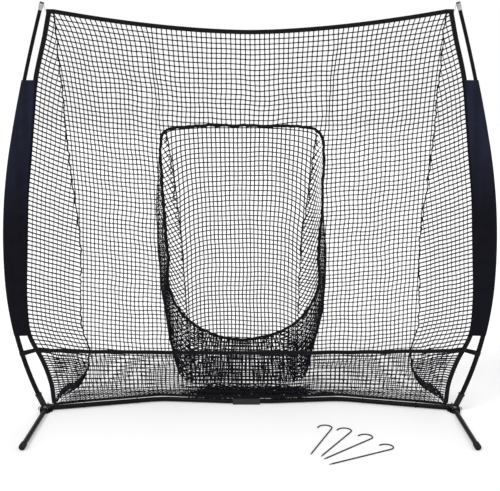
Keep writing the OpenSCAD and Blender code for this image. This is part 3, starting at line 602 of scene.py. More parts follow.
def stake_wire():
    shades = ((0.25, 0.030, 0.030, 0.032), (0.6, 0.070, 0.070, 0.073), (0.8, 0.16, 0.16, 0.163))
    return plain("stake_wire", (60, 5, 0.65), shades, (120, 3), (0.34, 0.55), (500, 3), 0.0001, 0.5,
                 Metallic=0.9)


def webbing(name, rows):
    m = material(name, Specular_IOR_Level=0.10, Sheen_Weight=0.02, Sheen_Roughness=0.5)
    uv = m.coords("UV")
    over = m.weave(0.0011, uv, 0.00035, 0.9)
    base = m.ramp(m.noise(22, 5, 0.65), (0.3, 0.0022, 0.0022, 0.0032), (0.7, 0.0050, 0.0050, 0.0068))
    base = m.mix(m.math("MULTIPLY", m.math("ADD", over, 1.0), 0.22), base, (0.012, 0.012, 0.016))
    seam = m.stitches(uv, rows)
    m.set(Base_Color=m.mix(seam, base, (0.032, 0.032, 0.038)))
    m.rough(m.noise(60, 3), 0.62, 0.80)
    m.bump(seam, 0.0006, 0.8)
    return m


def rim_binding():
    """Stretch binding that is sewn over the gathered edge of the net."""
    m = material("rim_cloth", Specular_IOR_Level=0.12, Sheen_Weight=0.04, Sheen_Roughness=0.5)
    m.weave(0.0010, m.coords("UV"), 0.0003, 0.8)
    shade = m.ramp(m.noise(26, 5, 0.65), (0.3, 0.0020, 0.0020, 0.0026), (0.7, 0.0046, 0.0046, 0.0058))
    m.set(Base_Color=shade)
    m.rough(m.noise(60, 3), 0.66, 0.84)
    m.bump(m.noise(75, 4, 0.6), 0.0020, 0.6)
    return m


def sleeve_cloth():
    m = material("sleeve_cloth", Specular_IOR_Level=0.08, Sheen_Weight=0.035, Sheen_Roughness=0.4,
                       Sheen_Tint=(0.55, 0.62, 0.85))
    uv = m.coords("UV")
    over = m.weave(0.0009, uv, 0.00025, 0.8)
    base = m.ramp(m.noise(7, 5, 0.6), (0.3, 0.0042, 0.0050, 0.0118), (0.7, 0.0100, 0.0112, 0.0215))
    base = m.mix(m.math("MULTIPLY", m.math("ADD", over, 1.0), 0.2), base, (0.020, 0.023, 0.040))
    # Painted sheen: the cloth is painted lighter and bluer in streaks, where it would lie flat between its
    # folds and catch the light
    painted_sheen = m.excess(m.noise(4.5, 2, 0.4, (5.5, 5.5, 0.5)), 0.42, 3.0)
    # mixes in the painted sheen colour: lit cloth drawn into the colour, not a dye
    base = m.mix(painted_sheen, base, (0.017, 0.018, 0.041))
    # It is darker in its lower half and along its sewn edge
    up, across = m.axes(uv)
    dark = m.math("MAXIMUM", m.excess(1.45, up, 2.4), m.excess(0.018, across, 90.0))
    m.set(Base_Color=m.mix(m.math("MULTIPLY", dark, 0.88), base, (0.0020, 0.0020, 0.0040)))
    m.rough(m.noise(24, 4), 0.55, 0.74)
    m.bump(m.noise(16, 4, 0.55, (1, 1, 0.45)), 0.004, 0.35)
    return m


def netting():
    m = material("netting", Specular_IOR_Level=0.1)
    x, y = m.axes(m.coords("UV"))
    twist = m.math("SINE", m.math("ADD", m.math("MULTIPLY", x, 2200.0), m.math("MULTIPLY", y, 900.0)))
    shade = m.ramp(m.noise(9, 4, 0.6), (0.3, 0.0050, 0.0046, 0.0080), (0.7, 0.0105, 0.0098, 0.0160))
    m.set(Base_Color=shade)
    m.rough(m.noise(40, 3), 0.55, 0.75)
    m.bump(twist, 0.0003, 0.6)
    return m


def cord_white():
    m = material("cord", Specular_IOR_Level=0.3, Sheen_Weight=0.2)
    m.set(Base_Color=m.ramp(m.noise(150, 4, 0.6), (0.3, 0.55, 0.54, 0.51), (0.7, 0.78, 0.77, 0.74)))
    m.rough(m.noise(90, 2), 0.6, 0.8)
    wave = m.add("TexWave", Vector=m.coords(), Scale=320.0, Distortion=1.5, Detail=1.0)
    wave.bands_direction = "DIAGONAL"
    m.bump(wave.outputs["Fac"], 0.0004, 0.7)
    return m


paint, satin, plastic, zinc, silver, cap_grey, rubber, wire, rim_cloth, cloth, twine, cord_cloth = [
    make().owner for make in (tube_paint, bracket_paint, coupler_plastic, hardware, ferrule, tip_cap,
                              foot_rubber, stake_wire, rim_binding, sleeve_cloth, netting, cord_white)]
web = webbing("webbing", WIDE_ROWS).owner
top_web, strap_web = [webbing(name, NARROW_ROWS).owner for name in ("top_webbing", "strap_webbing")]


# ---- Looks of the CAD's own pieces ----
def repaint(name, look):
    o = nodes[name]
    if not o.data.materials:
        o.data.materials.append(look)
    for place in o.material_slots:
        place.material = look


PAIRS = (
    (paint, "tube_paint", ("base_tube", "leg", "pole_lower", "pole_middle", "pole_upper")),
    (satin, "bracket_paint", ("corner_bracket", "pole_socket")),
    (zinc, "hardware", ("leg_bolt", "snap_button")),
    (wire, "stake_wire", ("corner_ring", "guy_hook")),
    (rubber, "foot_rubber", ("foot_cap",)),
    (silver, "ferrule", ("pole_tip",)),
    (cap_grey, "tip_cap", ("tip_cap",)),
    (cord_cloth, "cord", ("top_cord",)),
)
for hand in SIDES.values():
    for look, slot, parts in PAIRS:
        for part in parts:
            repaint(f"{hand}_{part}", look)
repaint("base_coupler", plastic)
repaint("base_bolts", zinc)
for i in range(1, 5):
    repaint(f"ground_stake_{i}", wire)


def piece(obj, slot, *replaced):
    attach(obj, "frame")
    if replaced:
        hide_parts(*replaced)
    return obj


# ---- Strike zone ----
zone_drop = zone_mid - zone_low


def pull(x, z):
    """How far the weight of the pocket draws the rim from its even outline, in x and z."""
    side = np.tanh((x + zone_shift) / 0.12)
    low = bell(z, 0.83, 0.25)
    upper = clamp((z - 1.1) / 0.35)
    corner = bell(z, zone_top, 0.09) * clamp((np.abs(x + zone_shift) - 0.22) / 0.2)
    from_left = 0.006 + 0.023 * low + 0.004 * corner
    from_right = 0.004 + 0.012 * low + 0.010 * corner
    dx = from_left * (1 - side) / 2 - from_right * (1 + side) / 2
    dz = -0.018 * clamp((x - 0.02) / 0.36) ** 1.5 * upper - 0.010 * corner * np.where(x < 0, 1.0, 0.4)
    return dx * clamp((z - 0.38) / 0.20), dz


def zone_value(x, z):
    """Negative inside the strike zone and positive outside it, in about metres."""
    dx, dz = pull(x, z)
    a, z = np.abs(x - dx + zone_shift), z - dz
    qx, qz = a - (zone_half - zone_corner), z - (zone_top - zone_corner)
    straight = np.maximum(a - zone_half, z - zone_top)
    upper = np.where((qx > 0) & (qz > 0), np.hypot(qx, qz) - zone_corner, straight)
    lower = zone_half * (np.sqrt((a / zone_half) ** 2 + (np.abs(z - zone_mid) / zone_drop) ** 2) - 1)
    return np.where(z >= zone_mid, upper, lower)


def zone_outline(n):
    """n points round the even strike zone, at equal distances along its lower half and along the rest."""
    a = np.radians(np.linspace(180, 360, 181))
    lower = np.stack([zone_half * np.cos(a), zone_mid + zone_drop * np.sin(a)], -1)
    b = np.radians(np.linspace(0, 90, 16))
    centre = [zone_half - zone_corner, zone_top - zone_corner]
    arc = centre + np.stack([np.cos(b), np.sin(b)], -1) * zone_corner
    upper = np.vstack([[[zone_half, zone_mid]], arc, arc[::-1] * [-1, 1], [[-zone_half, zone_mid]]])
    n_lower = int(round(n * 0.42))
    around = np.vstack([resample(lower, n_lower + 1)[:-1], resample(upper, n - n_lower + 1)[:-1]])
    return around - [zone_shift, 0]


# ---- Back net ----
HALF_COLUMNS = 45
FLOOR_STRANDS = 0.70  # the strands that lie on the floor are pulled thin


def column_x(k, f):
    """Distance of the netting's column k from the middle: below the top the columns draw in at both sides."""
    t = np.asarray(k, float) * CELL_X
    f = clamp(f)
    on_left = 0.086 * (1 - 0.57 * clamp((0.55 - f) / 0.4))
    inward = np.where(t < 0, on_left, 0.028) * (1 - np.exp(-(1 - f) / 0.12))
    return t - np.sign(t) * inward * t * t + 0.035 * t * np.abs(t) * np.exp(-(1 - f) / 0.05)


def rows_of_net():
    """Values of f half a cell apart, from the top down to the floor and on to the bottom binding."""
    f = np.concatenate([np.linspace(1, 0, 900), np.linspace(0, -1, 300)[1:]])
    s = arc_length(net_point(0.35 * np.ones_like(f), f))
    # The cells are taller half way up, where the net hangs free, and pulled long on the floor
    places = [-1, -0.1, 0, 0.15, 0.35, 0.55, 0.8, 1]
    taller = np.interp(f, places, [1.35, 1.35, 0.95, 0.955, 0.99, 1.045, 1.03, 1.02])
    s = running(np.diff(s) / taller[1:])
    n = int(round(s[-1] / CELL_Z))
    return np.interp(np.linspace(0, s[-1], 2 * n + 1), s, f)


def in_back_net(x, f):
    """Positive between the net's seams and outside its opening."""
    p = net_point(x, f)
    outside = np.where(np.asarray(f) < 0.05, 1.0, zone_value(p[..., 0], p[..., 2]) - 0.002)
    return np.minimum(seam_x(np.maximum(f, 0)) - np.abs(x), outside)


def back_net():
    net = Netting(BACK_TWINE)
    row_f = rows_of_net()
    n_hung = int((row_f > 0).sum()) // 2 * 2
    for f in row_f[2:-1:2]:
        x = column_x(np.arange(-2 * HALF_COLUMNS, 2 * HALF_COLUMNS + 1) / 2, f)
        thick = 1.0 if f > 0 else FLOOR_STRANDS
        net.lines(net_at, x, np.full(len(x), f), in_back_net, Z if f > 0.03 else Y, thick)
    for k in range(-HALF_COLUMNS, HALF_COLUMNS + 1):
        for run, thick in ((row_f[:n_hung + 1], 1.0), (row_f[n_hung:], FLOOR_STRANDS)):
            net.lines(net_at, column_x(k, run), run, in_back_net, X, thick)
    netting_piece = piece(net.build("back_netting"), "netting", "back_net")
    widest = 2 * np.max(seam_x(np.linspace(0, 1, 60)))
    middle = net_point(np.zeros(300), np.linspace(1, -1, 300))
    net.declare(netting_piece, widest, length_of(middle), ["top_binding", "bottom_binding"])


back_net()

# ---- Side nets ----
LOW_ROW, ROW = 0.0135, 0.0232  # below the strap the netting hangs slack, and its rows lie close together
SIDE_COLUMNS = 0.56  # the columns are pulled thin


def side_shape(side):
    """A function for points of the hung side net: w is 0 at the side binding and 1 at the seam."""
    tilt = ripple(21 + side, 0.2, 0.6)

    def side_at(w, f):
        w, f = np.broadcast_arrays(np.asarray(w, float), np.asarray(f, float))
        # The rows drop towards the seam
        g = clamp(f - 0.045 * w * clamp(curve(seam_inset, clamp(f)) / 0.2))
        a = xyz(binding_x(g) - 0.0015, frame_y, z_at(g))
        b = net_point(seam_x(g), g)
        p = a * (1 - w[..., None]) + b * w[..., None]
        loose = (w * (1 - w))[..., None]
        p = p + loose * xyz(0.10, 0.16, 0.03 * tilt(w, f * 2)) * curve(seam_inset, g)[..., None]
        below_strap = clamp((0.2 - g) / 0.08)
        slack = 4 * w * (1 - w) * (0.2 + 0.8 * below_strap)
        x, z = p[..., 0], p[..., 2]
        rise = 0.007 * tilt(x * 2 + 4, z * 1.5) + 0.010 * (0.5 - w) * below_strap
        p = p + xyz(0.006 * tilt(x * 1.5, z * 2) * slack, 0, rise * slack)
        p[..., 2] = np.maximum(p[..., 2], 0.006)
        p[..., 0] *= side
        return p

    return side_at


def side_netting(hand, side_at):
    net = Netting(SIDE_TWINE)
    low_rows = np.arange(0.004, 0.125, LOW_ROW / side_height)
    high_rows = np.arange(low_rows[-1] + 0.019 / side_height, 1.045, ROW / side_height)
    for f in np.concatenate([low_rows, high_rows]):
        n = max(int(round(float(curve(seam_inset, min(f, 1))) * 1.35 / 0.024)), 1)
        w = np.linspace(0, 1, 2 * n + 1)
        net.lines(side_at, w, np.full(len(w), f), below_top, Z)
    for w0 in np.linspace(0, 1, 13)[1:-1]:
        f = np.arange(0.0, 1.0, 0.0235 / side_height / 2)
        # A column ends where the net has become narrower than it
        w = w0 * 0.29 / np.maximum(curve(seam_inset, f) * 1.3, 0.01)
        net.lines(side_at, w, f, lambda w, f: 1 - w, X, SIDE_COLUMNS)
    return net, piece(net.build(f"{hand}_side_netting"), "netting", f"{hand}_side_net")


def below_top(w, f):
    """Positive for the part of a side net's row that lies below its top."""
    return 1.0 - np.maximum(0, f - 0.045 * w - 0.999) * 1e3


def seam_rope(side, hand, wobble):
    """The ragged seam between the side net and the back net."""
    f = np.linspace(0.0, 1.0, 220)
    p = net_point(seam_x(f), f)
    p[:, 0] += 0.0034 * wobble(p[:, 2], 0) * clamp((1 - f) / 0.04)
    p[:, 1] += 0.0022 * wobble(p[:, 2], 1)
    p[:, 0] *= side
    foot = clamp(1 - np.abs(f - 0.01) / 0.03)
    thick = 1 + 0.25 * wobble(p[:, 2] * 2, 2) + 0.6 * clamp((0.15 - f) / 0.03)
    thick = thick + foot * (0.8 + 0.4 * wobble(p[:, 0] * 2, 5))
    p[:, 2] = np.maximum(p[:, 2], 0.0036 * thick)
    return piece(tube(f"{hand}_net_seam", p, 0.0034, twine, X, 8, scale=thick), "netting")


def corner_gather(side, hand, wobble):
    """Netting gathered along the seam's foot and on to the corner of the bottom binding."""
    bunch = Netting(GATHER_TWINE)
    s = np.concatenate([np.linspace(0.060, 0.0, 30), np.linspace(-0.05, -0.98, 26)])
    base = net_point(seam_x(np.maximum(s, 0)), s)
    base[:, 2] += 0.018 * bell(s, -0.1, 0.18) + 0.150 * clamp(-s) * (1 + s)
    base[:, 0] += 0.022 * clamp((-s - 0.5) / 0.5)
    fat = np.interp(s, [-0.98, -0.4, 0.0, 0.012, 0.035, 0.06], [0.55, 0.75, 1.1, 1.0, 0.5, 0.15])
    for n in range(22):
        spread = 0.0115 * math.sin(n * 2.4) * fat
        q = base.copy()
        q[:, 0] += spread * 0.6 + 0.0022 * wobble(base[:, 0] * 2 + n, n * 0.31)
        q[:, 2] = np.maximum(q[:, 2] + spread + 0.0022 * wobble(n * 0.17, base[:, 0] * 2), GATHER_LOW)
        q[:, 1] += 0.008 * math.cos(n * 1.7) * fat
        if n % 3 == 0:
            q[:, 2] -= 0.010 * clamp((-s - 0.3) / 0.5) * (base[:, 2] > 0.03)
        q = q[(n * 5) % 12:len(s) - (n * 3) % 9]
        q[:, 0] *= side
        bunch.strand(q, Z, 0.72)
    return piece(bunch.build(f"{hand}_corner_gather"), "netting")


for side, hand in SIDES.items():
    side_at = side_shape(side)
    net, netting_piece = side_netting(hand, side_at)
    wobble = ripple(31 + side, 0.03, 0.11)
    sewn = [seam_rope(side, hand, wobble), corner_gather(side, hand, wobble)]
    line = np.linspace(0, 1, 60)
    width = max(length_of(side_at(line, np.full(60, f))) for f in (0.1, 0.3, 0.5))
    net.declare(netting_piece, width, length_of(side_at(np.zeros(60), line)), [f"{hand}_side_binding"], sewn)

# ---- Strike-zone rim ----
ragged = ripple(41, 0.025, 0.09)


def strike_rim():
    ring = zone_outline(330)
    line = net_at(ring[:, 0], f_at(ring[:, 0], ring[:, 1]))
    x, z = line[:, 0].copy(), line[:, 2].copy()
    pull_x, pull_z = pull(x, z)
    line[:, 0] += 0.0016 * ragged(z, x) + pull_x
    line[:, 2] += 0.0022 * ragged(x + 3, z) + pull_z
    upright = clamp((ring[:, 1] - 0.9) / 0.2) * clamp((zone_top - 0.02 - ring[:, 1]) / 0.05)
    left_low = bell(ring[:, 1], 1.02, 0.26) * (ring[:, 0] < -zone_shift)
    thick = 1.28 - 0.04 * upright + 0.30 * left_low + (0.13 + 0.08 * left_low) * ragged(z * 1.5 + 1, x * 1.5)
    rim = tube("strike_zone_binding", line, rim_r, rim_cloth, Y, 12, closed=True, scale=thick)
    piece(rim, "webbing", "strike_rim")


strike_rim()

# ---- Pocket: u runs from -1 to 1 across it, and v from 0 at the rim's top, down the back panel to the floor
# at floor_v, and forward and up to 1 at the rim's foot ----
floor_v, straight_z = 0.8, 0.250
panel_in, side_bulge = 0.022, 0.058
foot_angle = math.radians(50)
corner_cut = zone_corner * (1 - math.sqrt(0.5))
foot_half = zone_half * math.cos(foot_angle)
side_top_z = zone_top - corner_cut
side_low_z = zone_mid - zone_drop * math.sin(foot_angle)
start = rim_r + net_t / 2 + seam_gap
bag_slack = ripple(61, 0.25, 0.7)
SIDE_CELL, SIDE_TILT = 0.024, math.radians(38)
POCKET_COLUMNS = 22


def corner_reach(over):
    """How far a rounded corner of the zone still reaches, at this distance past its centre."""
    return np.sqrt(np.maximum(zone_corner**2 - np.maximum(over, 0) ** 2, 0))


def rim_half(z):
    low = zone_half * np.sqrt(np.maximum(1 - ((zone_mid - z) / zone_drop) ** 2, 0))
    return np.where(z < zone_mid, low, zone_half - zone_corner + corner_reach(z - zone_top + zone_corner))


def bag_y(x, z):
    return hang_y(f_at(x, np.maximum(z, straight_z))) + start


def panel_half(v):
    w = np.minimum(v / floor_v, 1)
    return (zone_half - corner_cut) * (1 - w) + (zone_half - panel_in) * w


def seam_u(v):
    """Where the seam between the pocket's panel and its sides lies."""
    places = [0, 0.03, 0.08, 0.15, 0.22, 0.30, 0.37, 0.80]
    return np.interp(v, places, [0.99, 0.945, 0.922, 0.895, 0.86, 0.825, 0.805, 0.72])


def bag_body(u, v):
    """The pocket's back panel and floor, as if they ran on to its sides."""
    w, w2 = np.minimum(v / floor_v, 1), np.maximum((v - floor_v) / (1 - floor_v), 0)
    on_back = w2 == 0
    over = np.abs(u) * (zone_half - corner_cut) - zone_half + zone_corner
    top = zone_top - zone_corner + corner_reach(over)
    foot = zone_mid - zone_drop * np.sqrt(1 - (u * foot_half / zone_half) ** 2)
    floor_z = net_floor + POCKET_LIFT
    half = np.where(on_back, panel_half(v), panel_half(floor_v) * (1 - w2) + foot_half * w2)
    z = np.where(on_back, top * (1 - w) + floor_z * w, floor_z * (1 - w2) + foot * w2)
    deep = pocket_depth * np.where(on_back, 1 - np.maximum(1 - 1.8 * w, 0) ** 2, 1 - w2)
    x = u * half - zone_shift
    return xyz(x, bag_y(x, z) + deep, z)


def bag_edge(u, v):
    """The even rim at the side where u lies."""
    z = side_top_z + (side_low_z - side_top_z) * v
    x = np.sign(u) * rim_half(z) - zone_shift
    return xyz(x, bag_y(x, z), z)


def bag_at(u, v):
    u, v = np.broadcast_arrays(np.asarray(u, float), np.asarray(v, float))
    w = np.minimum(v / floor_v, 1)
    low = clamp((w - 0.15) / 0.7)
    low = low * low * (3 - 2 * low)
    # From the seam to the rim the side is nearly flat in its upper part, and round lower down
    seam = seam_u(v)
    aside = clamp((np.abs(u) - seam) / (1 - seam))
    e = (1 - aside**1.4) * (1 - low) + (1 - np.abs(u) ** 18) * low
    left = np.interp(w, [0, 0.1, 0.2, 0.4, 0.6, 0.74, 0.86, 1], [0, 0.30, 0.60, 1.0, 1.10, 0.88, 0.45, 0])
    right = np.interp(w, [0, 0.3, 0.45, 0.6, 0.74, 0.86, 1], [0, 0.05, 0.50, 0.95, 0.95, 0.62, 0])
    swell = 4 * e * (1 - e) * np.where(u < 0, left, right)
    p = bag_edge(u, v) * (1 - e[..., None]) + bag_body(u, v) * e[..., None]
    p[..., 0] += np.sign(u) * side_bulge * swell
    # The rim is drawn inwards, and the netting behind it stays out past it
    shift_x, shift_z = pull(p[..., 0], p[..., 2])
    p[..., 0] += shift_x * (1 - e * (0.70 - 0.25 * np.tanh(u / 0.3)))
    p[..., 2] += shift_z
    loose = clamp(e / 0.4) * clamp(v / 0.08) * clamp((1 - v) / 0.08)
    x, y, z = np.moveaxis(p, -1, 0)
    p = p + xyz((0.0026 * slack_x(x + 5, z + y) + 0.0006 * fine(x, z + y + 3)) * loose,
                0.010 * bag_slack(x, z) * loose,
                (0.0026 * slack_z(x, z + 5) + 0.0006 * fine(z + y, x + 3)) * loose)
    p[..., 2] = np.maximum(p[..., 2], 0.006)
    return p


def panel_u(k, v):
    """Across the panel, where its column k runs: the columns draw together downwards."""
    return k * (0.0232 - 0.0022 * np.minimum(v / floor_v, 1)) / panel_half(v)


def panel_at(k, v):
    """The panel's rows hang lower at both sides than in the middle."""
    u = panel_u(k, v)
    dip = 0.003 * np.abs(u / 0.8) ** 2 + 0.037 * np.abs(u / 0.8) ** 5
    return bag_at(u, clamp(v + dip * np.sin(np.pi * clamp(v / floor_v)) ** 0.8))


def in_panel(k, v):
    return np.minimum(seam_u(v) - np.abs(panel_u(k, v)), 0.999 - v)


def pocket_panel(pocket):
    """Strands of the back panel and the floor. Returns the panel's height, laid flat."""
    v_fine = np.linspace(0, 1, 800)
    down = arc_length(bag_at(0.0, v_fine))
    cell_heights = np.interp(v_fine[1:], [0, 0.4, 0.6, 0.8], [0.0294, 0.0284, 0.0262, 0.0250])
    cells = running(np.diff(down) / cell_heights)
    panel_v = np.interp(np.arange(0, cells[-1], 0.5), cells, v_fine)
    half_k = np.arange(-2 * POCKET_COLUMNS, 2 * POCKET_COLUMNS + 1) / 2
    for v in panel_v[1::2]:
        pocket.lines(panel_at, half_k, np.full(len(half_k), v), in_panel, Z if v < floor_v else (0, 1, 1))
    for k in range(-POCKET_COLUMNS, POCKET_COLUMNS + 1):
        pocket.lines(panel_at, np.full(len(panel_v), float(k)), panel_v, in_panel, X)
    return down[-1]


def pocket_side(pocket, side):
    """Strands of one side. It is cut across the grain, so its mesh runs slantwise from the rim, where a is 0,
    to the seam. b runs down it."""
    side_v, side_w = np.linspace(0, 1, 90), np.linspace(0, 1, 30)

    def side_point(w, v):
        return bag_at(side * (1 - (1 - seam_u(v)) * w), v)

    table = np.array([side_point(side_w, v) for v in side_v])
    reach = np.array([arc_length(row) for row in table])
    length = arc_length(table[:, 12])

    def place(a, b):
        v = np.interp(b, length, side_v)
        rows = np.clip(np.round(v * 89).astype(int), 0, 89)
        return side_point(np.array([np.interp(ai, reach[row], side_w) for ai, row in zip(a, rows)]), v)

    across = np.array([math.cos(SIDE_TILT), math.sin(SIDE_TILT)])
    along = np.array([-math.sin(SIDE_TILT), math.cos(SIDE_TILT)])
    step = np.arange(-30, 120) * SIDE_CELL / 2
    for first, second in ((across, along), (along, across)):
        for n in range(-40, 80):
            a, b = (second * n * SIDE_CELL + step[:, None] * first).T
            wide = np.interp(b, length, reach[:, -1])
            keep = np.minimum(np.minimum(a, wide - a), np.minimum(b, length[-1] - b))
            if (keep > 0).sum() < 3:
                continue
            line = np.zeros((len(a), 4))
            near = keep > -0.03
            line[near, :3] = place(np.maximum(a[near], 0), np.clip(b[near], 0, length[-1]))
            # The twine is pulled thin towards the rim
            line[:, 3] = np.interp(a / wide, [0.40, 0.75], [0.45, 1.10])
            for run, index in kept_runs(line, keep):
                pocket.strand(run[:, :3], (0.3, 1, 0.2), run[:, 3], knots(index))


def pocket_seam(side, hand):
    v = np.linspace(0.01, floor_v + 0.02, 170)
    p = bag_at(side * seam_u(v), v)
    p[:, 0] += 0.0022 * ragged(p[:, 2] + 7, p[:, 0])
    p[:, 1] += 0.0022 * ragged(p[:, 0] + 2, p[:, 2])
    thick = 1 + 0.22 * ragged(p[:, 2], p[:, 0] + 9)
    return piece(tube(f"{hand}_pocket_seam", p, 0.0032, twine, Y, 8, scale=thick), "netting")


# The netting that lies bunched on the floor behind the coupler
crumple, roll = ripple(62, 0.03, 0.16, 9), ripple(63, 0.05, 0.3, 9)
HEAP_STEP = 0.012


def heap_at(x, y, layer):
    p = xyz(x + 0.006 * crumple(y * 3, x + layer),
            y + 0.010 * crumple(x, y * 2 + layer) + 0.008 * roll(x, layer), 0.009 + 0.0065 * layer)
    p[..., 2] = np.maximum(p[..., 2] + 0.005 * crumple(x * 2 + layer, y * 3) + 0.003 * roll(y, x), 0.0035)
    return p


def pocket_folds():
    heap = Netting(HEAP_TWINE)
    chance = np.random.RandomState(64)
    for layer in range(4):
        for y in np.arange(0.060 + 0.008 * layer, 0.235, 0.0175):
            a, b = -0.29 - 0.12 * chance.rand() ** 2, 0.27 + 0.13 * chance.rand() ** 2
            line = heap_at(np.arange(a, b, HEAP_STEP), y, layer)
            heap.strand(line, (0, 1, 0.4), 0.85 + 0.4 * chance.rand())
        for x in np.arange(-0.34 + 0.03 * layer, 0.31, 0.024):
            y = np.arange(0.055 + 0.03 * chance.rand(), 0.205 + 0.055 * chance.rand(), HEAP_STEP)
            heap.strand(heap_at(x + HEAP_STEP * (layer % 2), y, layer), X)
    # A fold runs on from it along the floor
    for n in range(7):
        x = np.arange(0.29, 0.44 + 0.05 * chance.rand(), HEAP_STEP)
        fold_y = 0.120 + 0.006 * n * (1 - (x - 0.29) / 0.3)
        heap.strand(heap_at(x, fold_y, 1 + n % 2), (0, 1, 0.4), 0.9)
    return piece(heap.build("pocket_folds"), "netting")


pocket = Netting(POCKET_TWINE)
pocket_height = pocket_panel(pocket)
for side in SIDES:
    pocket_side(pocket, side)
pocket_netting = piece(pocket.build("pocket_netting"), "netting", "pocket_net")
pocket_parts = [pocket_seam(side, hand) for side, hand in SIDES.items()] + [pocket_folds()]
pocket_width = length_of(bag_at(np.linspace(-1, 1, 120), 0.4))
pocket.declare(pocket_netting, pocket_width, pocket_height, ["strike_rim"], pocket_parts)

# ---- Lip net between the bottom binding and the front strap: w is 0 at its foot and 1 at the strap ----
strap_x = float(binding_x(f_of(strap_z))) + webbing_w + 0.004
hem_shown = 0.013
lip_low = net_low + hem_shown + 0.0006
lip_slack = ripple(71, 0.15, 0.6)
LIP_CELL, LIP_ROWS, LIP_HALF_COLUMNS = 0.0250, 12, 42


def strap_line_z(x):
    return strap_z - strap_rise / 2 + strap_rise * (x / strap_x) ** 2


def lip_half(w):
    return binding_x(f_of(lip_low + (strap_z - lip_low) * w)) - 0.0015


def lip_at(x, w):
    x, w = np.broadcast_arrays(np.asarray(x, float), np.asarray(w, float))
    s = x / lip_half(w)
    low = hem_y(s * lip_half(np.zeros(1))[0])
    y = frame_y * w + low * (1 - w) + 0.03 * np.sin(np.pi * w) * (1 - np.abs(s) ** 3)
    z = strap_line_z(x) * w + lip_low * (1 - w)
    loose = np.sin(np.pi * w) * clamp((1 - np.abs(s)) / 0.1)
    return xyz(x + 0.005 * lip_slack(x, z * 2) * loose, y + 0.012 * lip_slack(x, z + 2) * loose,
               z + 0.004 * lip_slack(z, x) * loose)


def in_lip(x, w):
    return lip_half(w) - np.abs(x)


def lip_net():
    lip = Netting(LIP_TWINE)
    lip_w = np.linspace(0, 1, 2 * LIP_ROWS + 1)
    for w in lip_w[::2]:
        x = np.arange(-2 * LIP_HALF_COLUMNS, 2 * LIP_HALF_COLUMNS + 1) / 2 * LIP_CELL
        lip.lines(lip_at, x, np.full(len(x), w), in_lip, Y)
    for k in range(-LIP_HALF_COLUMNS, LIP_HALF_COLUMNS + 1):
        lip.lines(lip_at, k * LIP_CELL * (0.965 + 0.035 * lip_w), lip_w, in_lip, X)
    netting_piece = piece(lip.build("lip_netting"), "netting", "lip_net")
    widest = 2 * float(lip_half(np.ones(1))[0])
    middle = lip_at(np.zeros(40), np.linspace(0, 1, 40))
    lip.declare(netting_piece, widest, length_of(middle), ["front_strap", "bottom_binding"])


lip_net()

# ---- Bindings and strap ----
stir = ripple(81, 0.08, 0.4)
top_half = float(binding_x(1)) + webbing_w


def band(name, replaced, *shape, **twist):
    piece(strip(name, *shape, **twist), "webbing", replaced)


def top_binding():
    x = np.linspace(-1, 1, 160) * top_half
    edge = net_top + seam_gap + top_webbing_h - top_sag * droop(np.minimum(np.abs(x / float(seam_x(1))), 1.0))
    path = xyz(x, frame_y + 0.0012 * stir(x, 0), edge - top_webbing_h / 2)
    band("top_webbing", "top_binding", path, Z, top_webbing_h, webbing_t, top_web, twist=0.04 * stir(x, 3))


def side_binding(side, hand):
    f = np.linspace(f_of(net_low + 0.0136), 1.003, 180)
    x = binding_x(f) + webbing_w / 2 + 0.005 * np.exp(-f / 0.03)
    path = xyz(side * x, frame_y + 0.0008 * stir(z_at(f), side), z_at(f))
    band(f"{hand}_side_webbing", f"{hand}_side_binding", path, X, webbing_w, webbing_t, web)


def front_strap():
    x = np.linspace(-strap_x, strap_x, 150)
    path = xyz(x, frame_y - webbing_t - seam_gap + 0.001 * stir(x, 5), strap_line_z(x) + 0.0012 * stir(x, 6))
    twist = 0.04 * stir(x, 8)
    band("front_strap_webbing", "front_strap", path, Z, strap_h, webbing_t, strap_web, twist=twist)


def bottom_binding():
    half_line = [(flat_x, 0.0), (bend_x, bend_y), (hem_leave_x, float(base_y(hem_leave_x))), (hem_x, frame_y)]
    plan = resample(np.array([(-a, b) for a, b in half_line[::-1]] + half_line), 260)
    for _ in range(12):  # rounds the corners of the line
        plan[1:-1] = (plan[:-2] + 2 * plan[1:-1] + plan[2:]) / 4
    path = xyz(plan[:, 0], plan[:, 1], net_low + hem_shown / 2)
    band("bottom_webbing", "bottom_binding", path, Z, hem_shown, webbing_t, web)


top_binding()
for side, hand in SIDES.items():
    side_binding(side, hand)
front_strap()
bottom_binding()


# ---- Sleeves ----
def hairpin(reach, r, gap, n_round=14, n_flat=9):
    """Middle line of a section that is folded round the pole, from its front inner edge to its back one."""
    a = math.pi - math.acos(min(r / reach, 1))
    bend = np.linspace(-a, a, n_round)
    around = np.stack([r * np.cos(bend), r * np.sin(bend)], -1)
    t = np.linspace(0, 1, n_flat)[:-1, None]
    edge0, edge1 = np.array([-reach, -gap / 2]), np.array([-reach, gap / 2])
    return np.vstack([edge0 * (1 - t) + around[0] * t, around, (edge1 * (1 - t) + around[-1] * t)[::-1]])


def sleeve_rows(side, z):
    """The sleeve's rows of points, and how far each point lies along its row."""
    fold, crease = ripple(91 + side, 0.04, 0.22), ripple(95 + side, 0.02, 0.07)
    rows, across = [], []
    for zi in z:
        reach = float(curve(binding_inset, f_of(zi)))
        section = hairpin(reach, tube_r + 0.0014, webbing_t + 0.0016)
        around = arc_length(section)
        # The folds lie in the flat part, between the pole and the inner edge
        flatness = clamp((reach / 2 - np.abs(section[:, 0] + reach / 2 + 0.004) - 0.004) / 0.02)
        push = 0.0022 * fold(around * 1.2, zi) + 0.0007 * crease(around, zi)
        outward = np.sign(section[:, 1]) * np.maximum(push * flatness + 0.0012 * flatness, -0.0006)
        rows.append(xyz(section[:, 0], section[:, 1] + outward, zi))
        across.append(around)
    grid = np.array(rows)
    grid[..., 0] = side * (grid[..., 0] + pole_x(grid[..., 2]))
    grid[..., 1] += frame_y
    return grid, np.array(across)


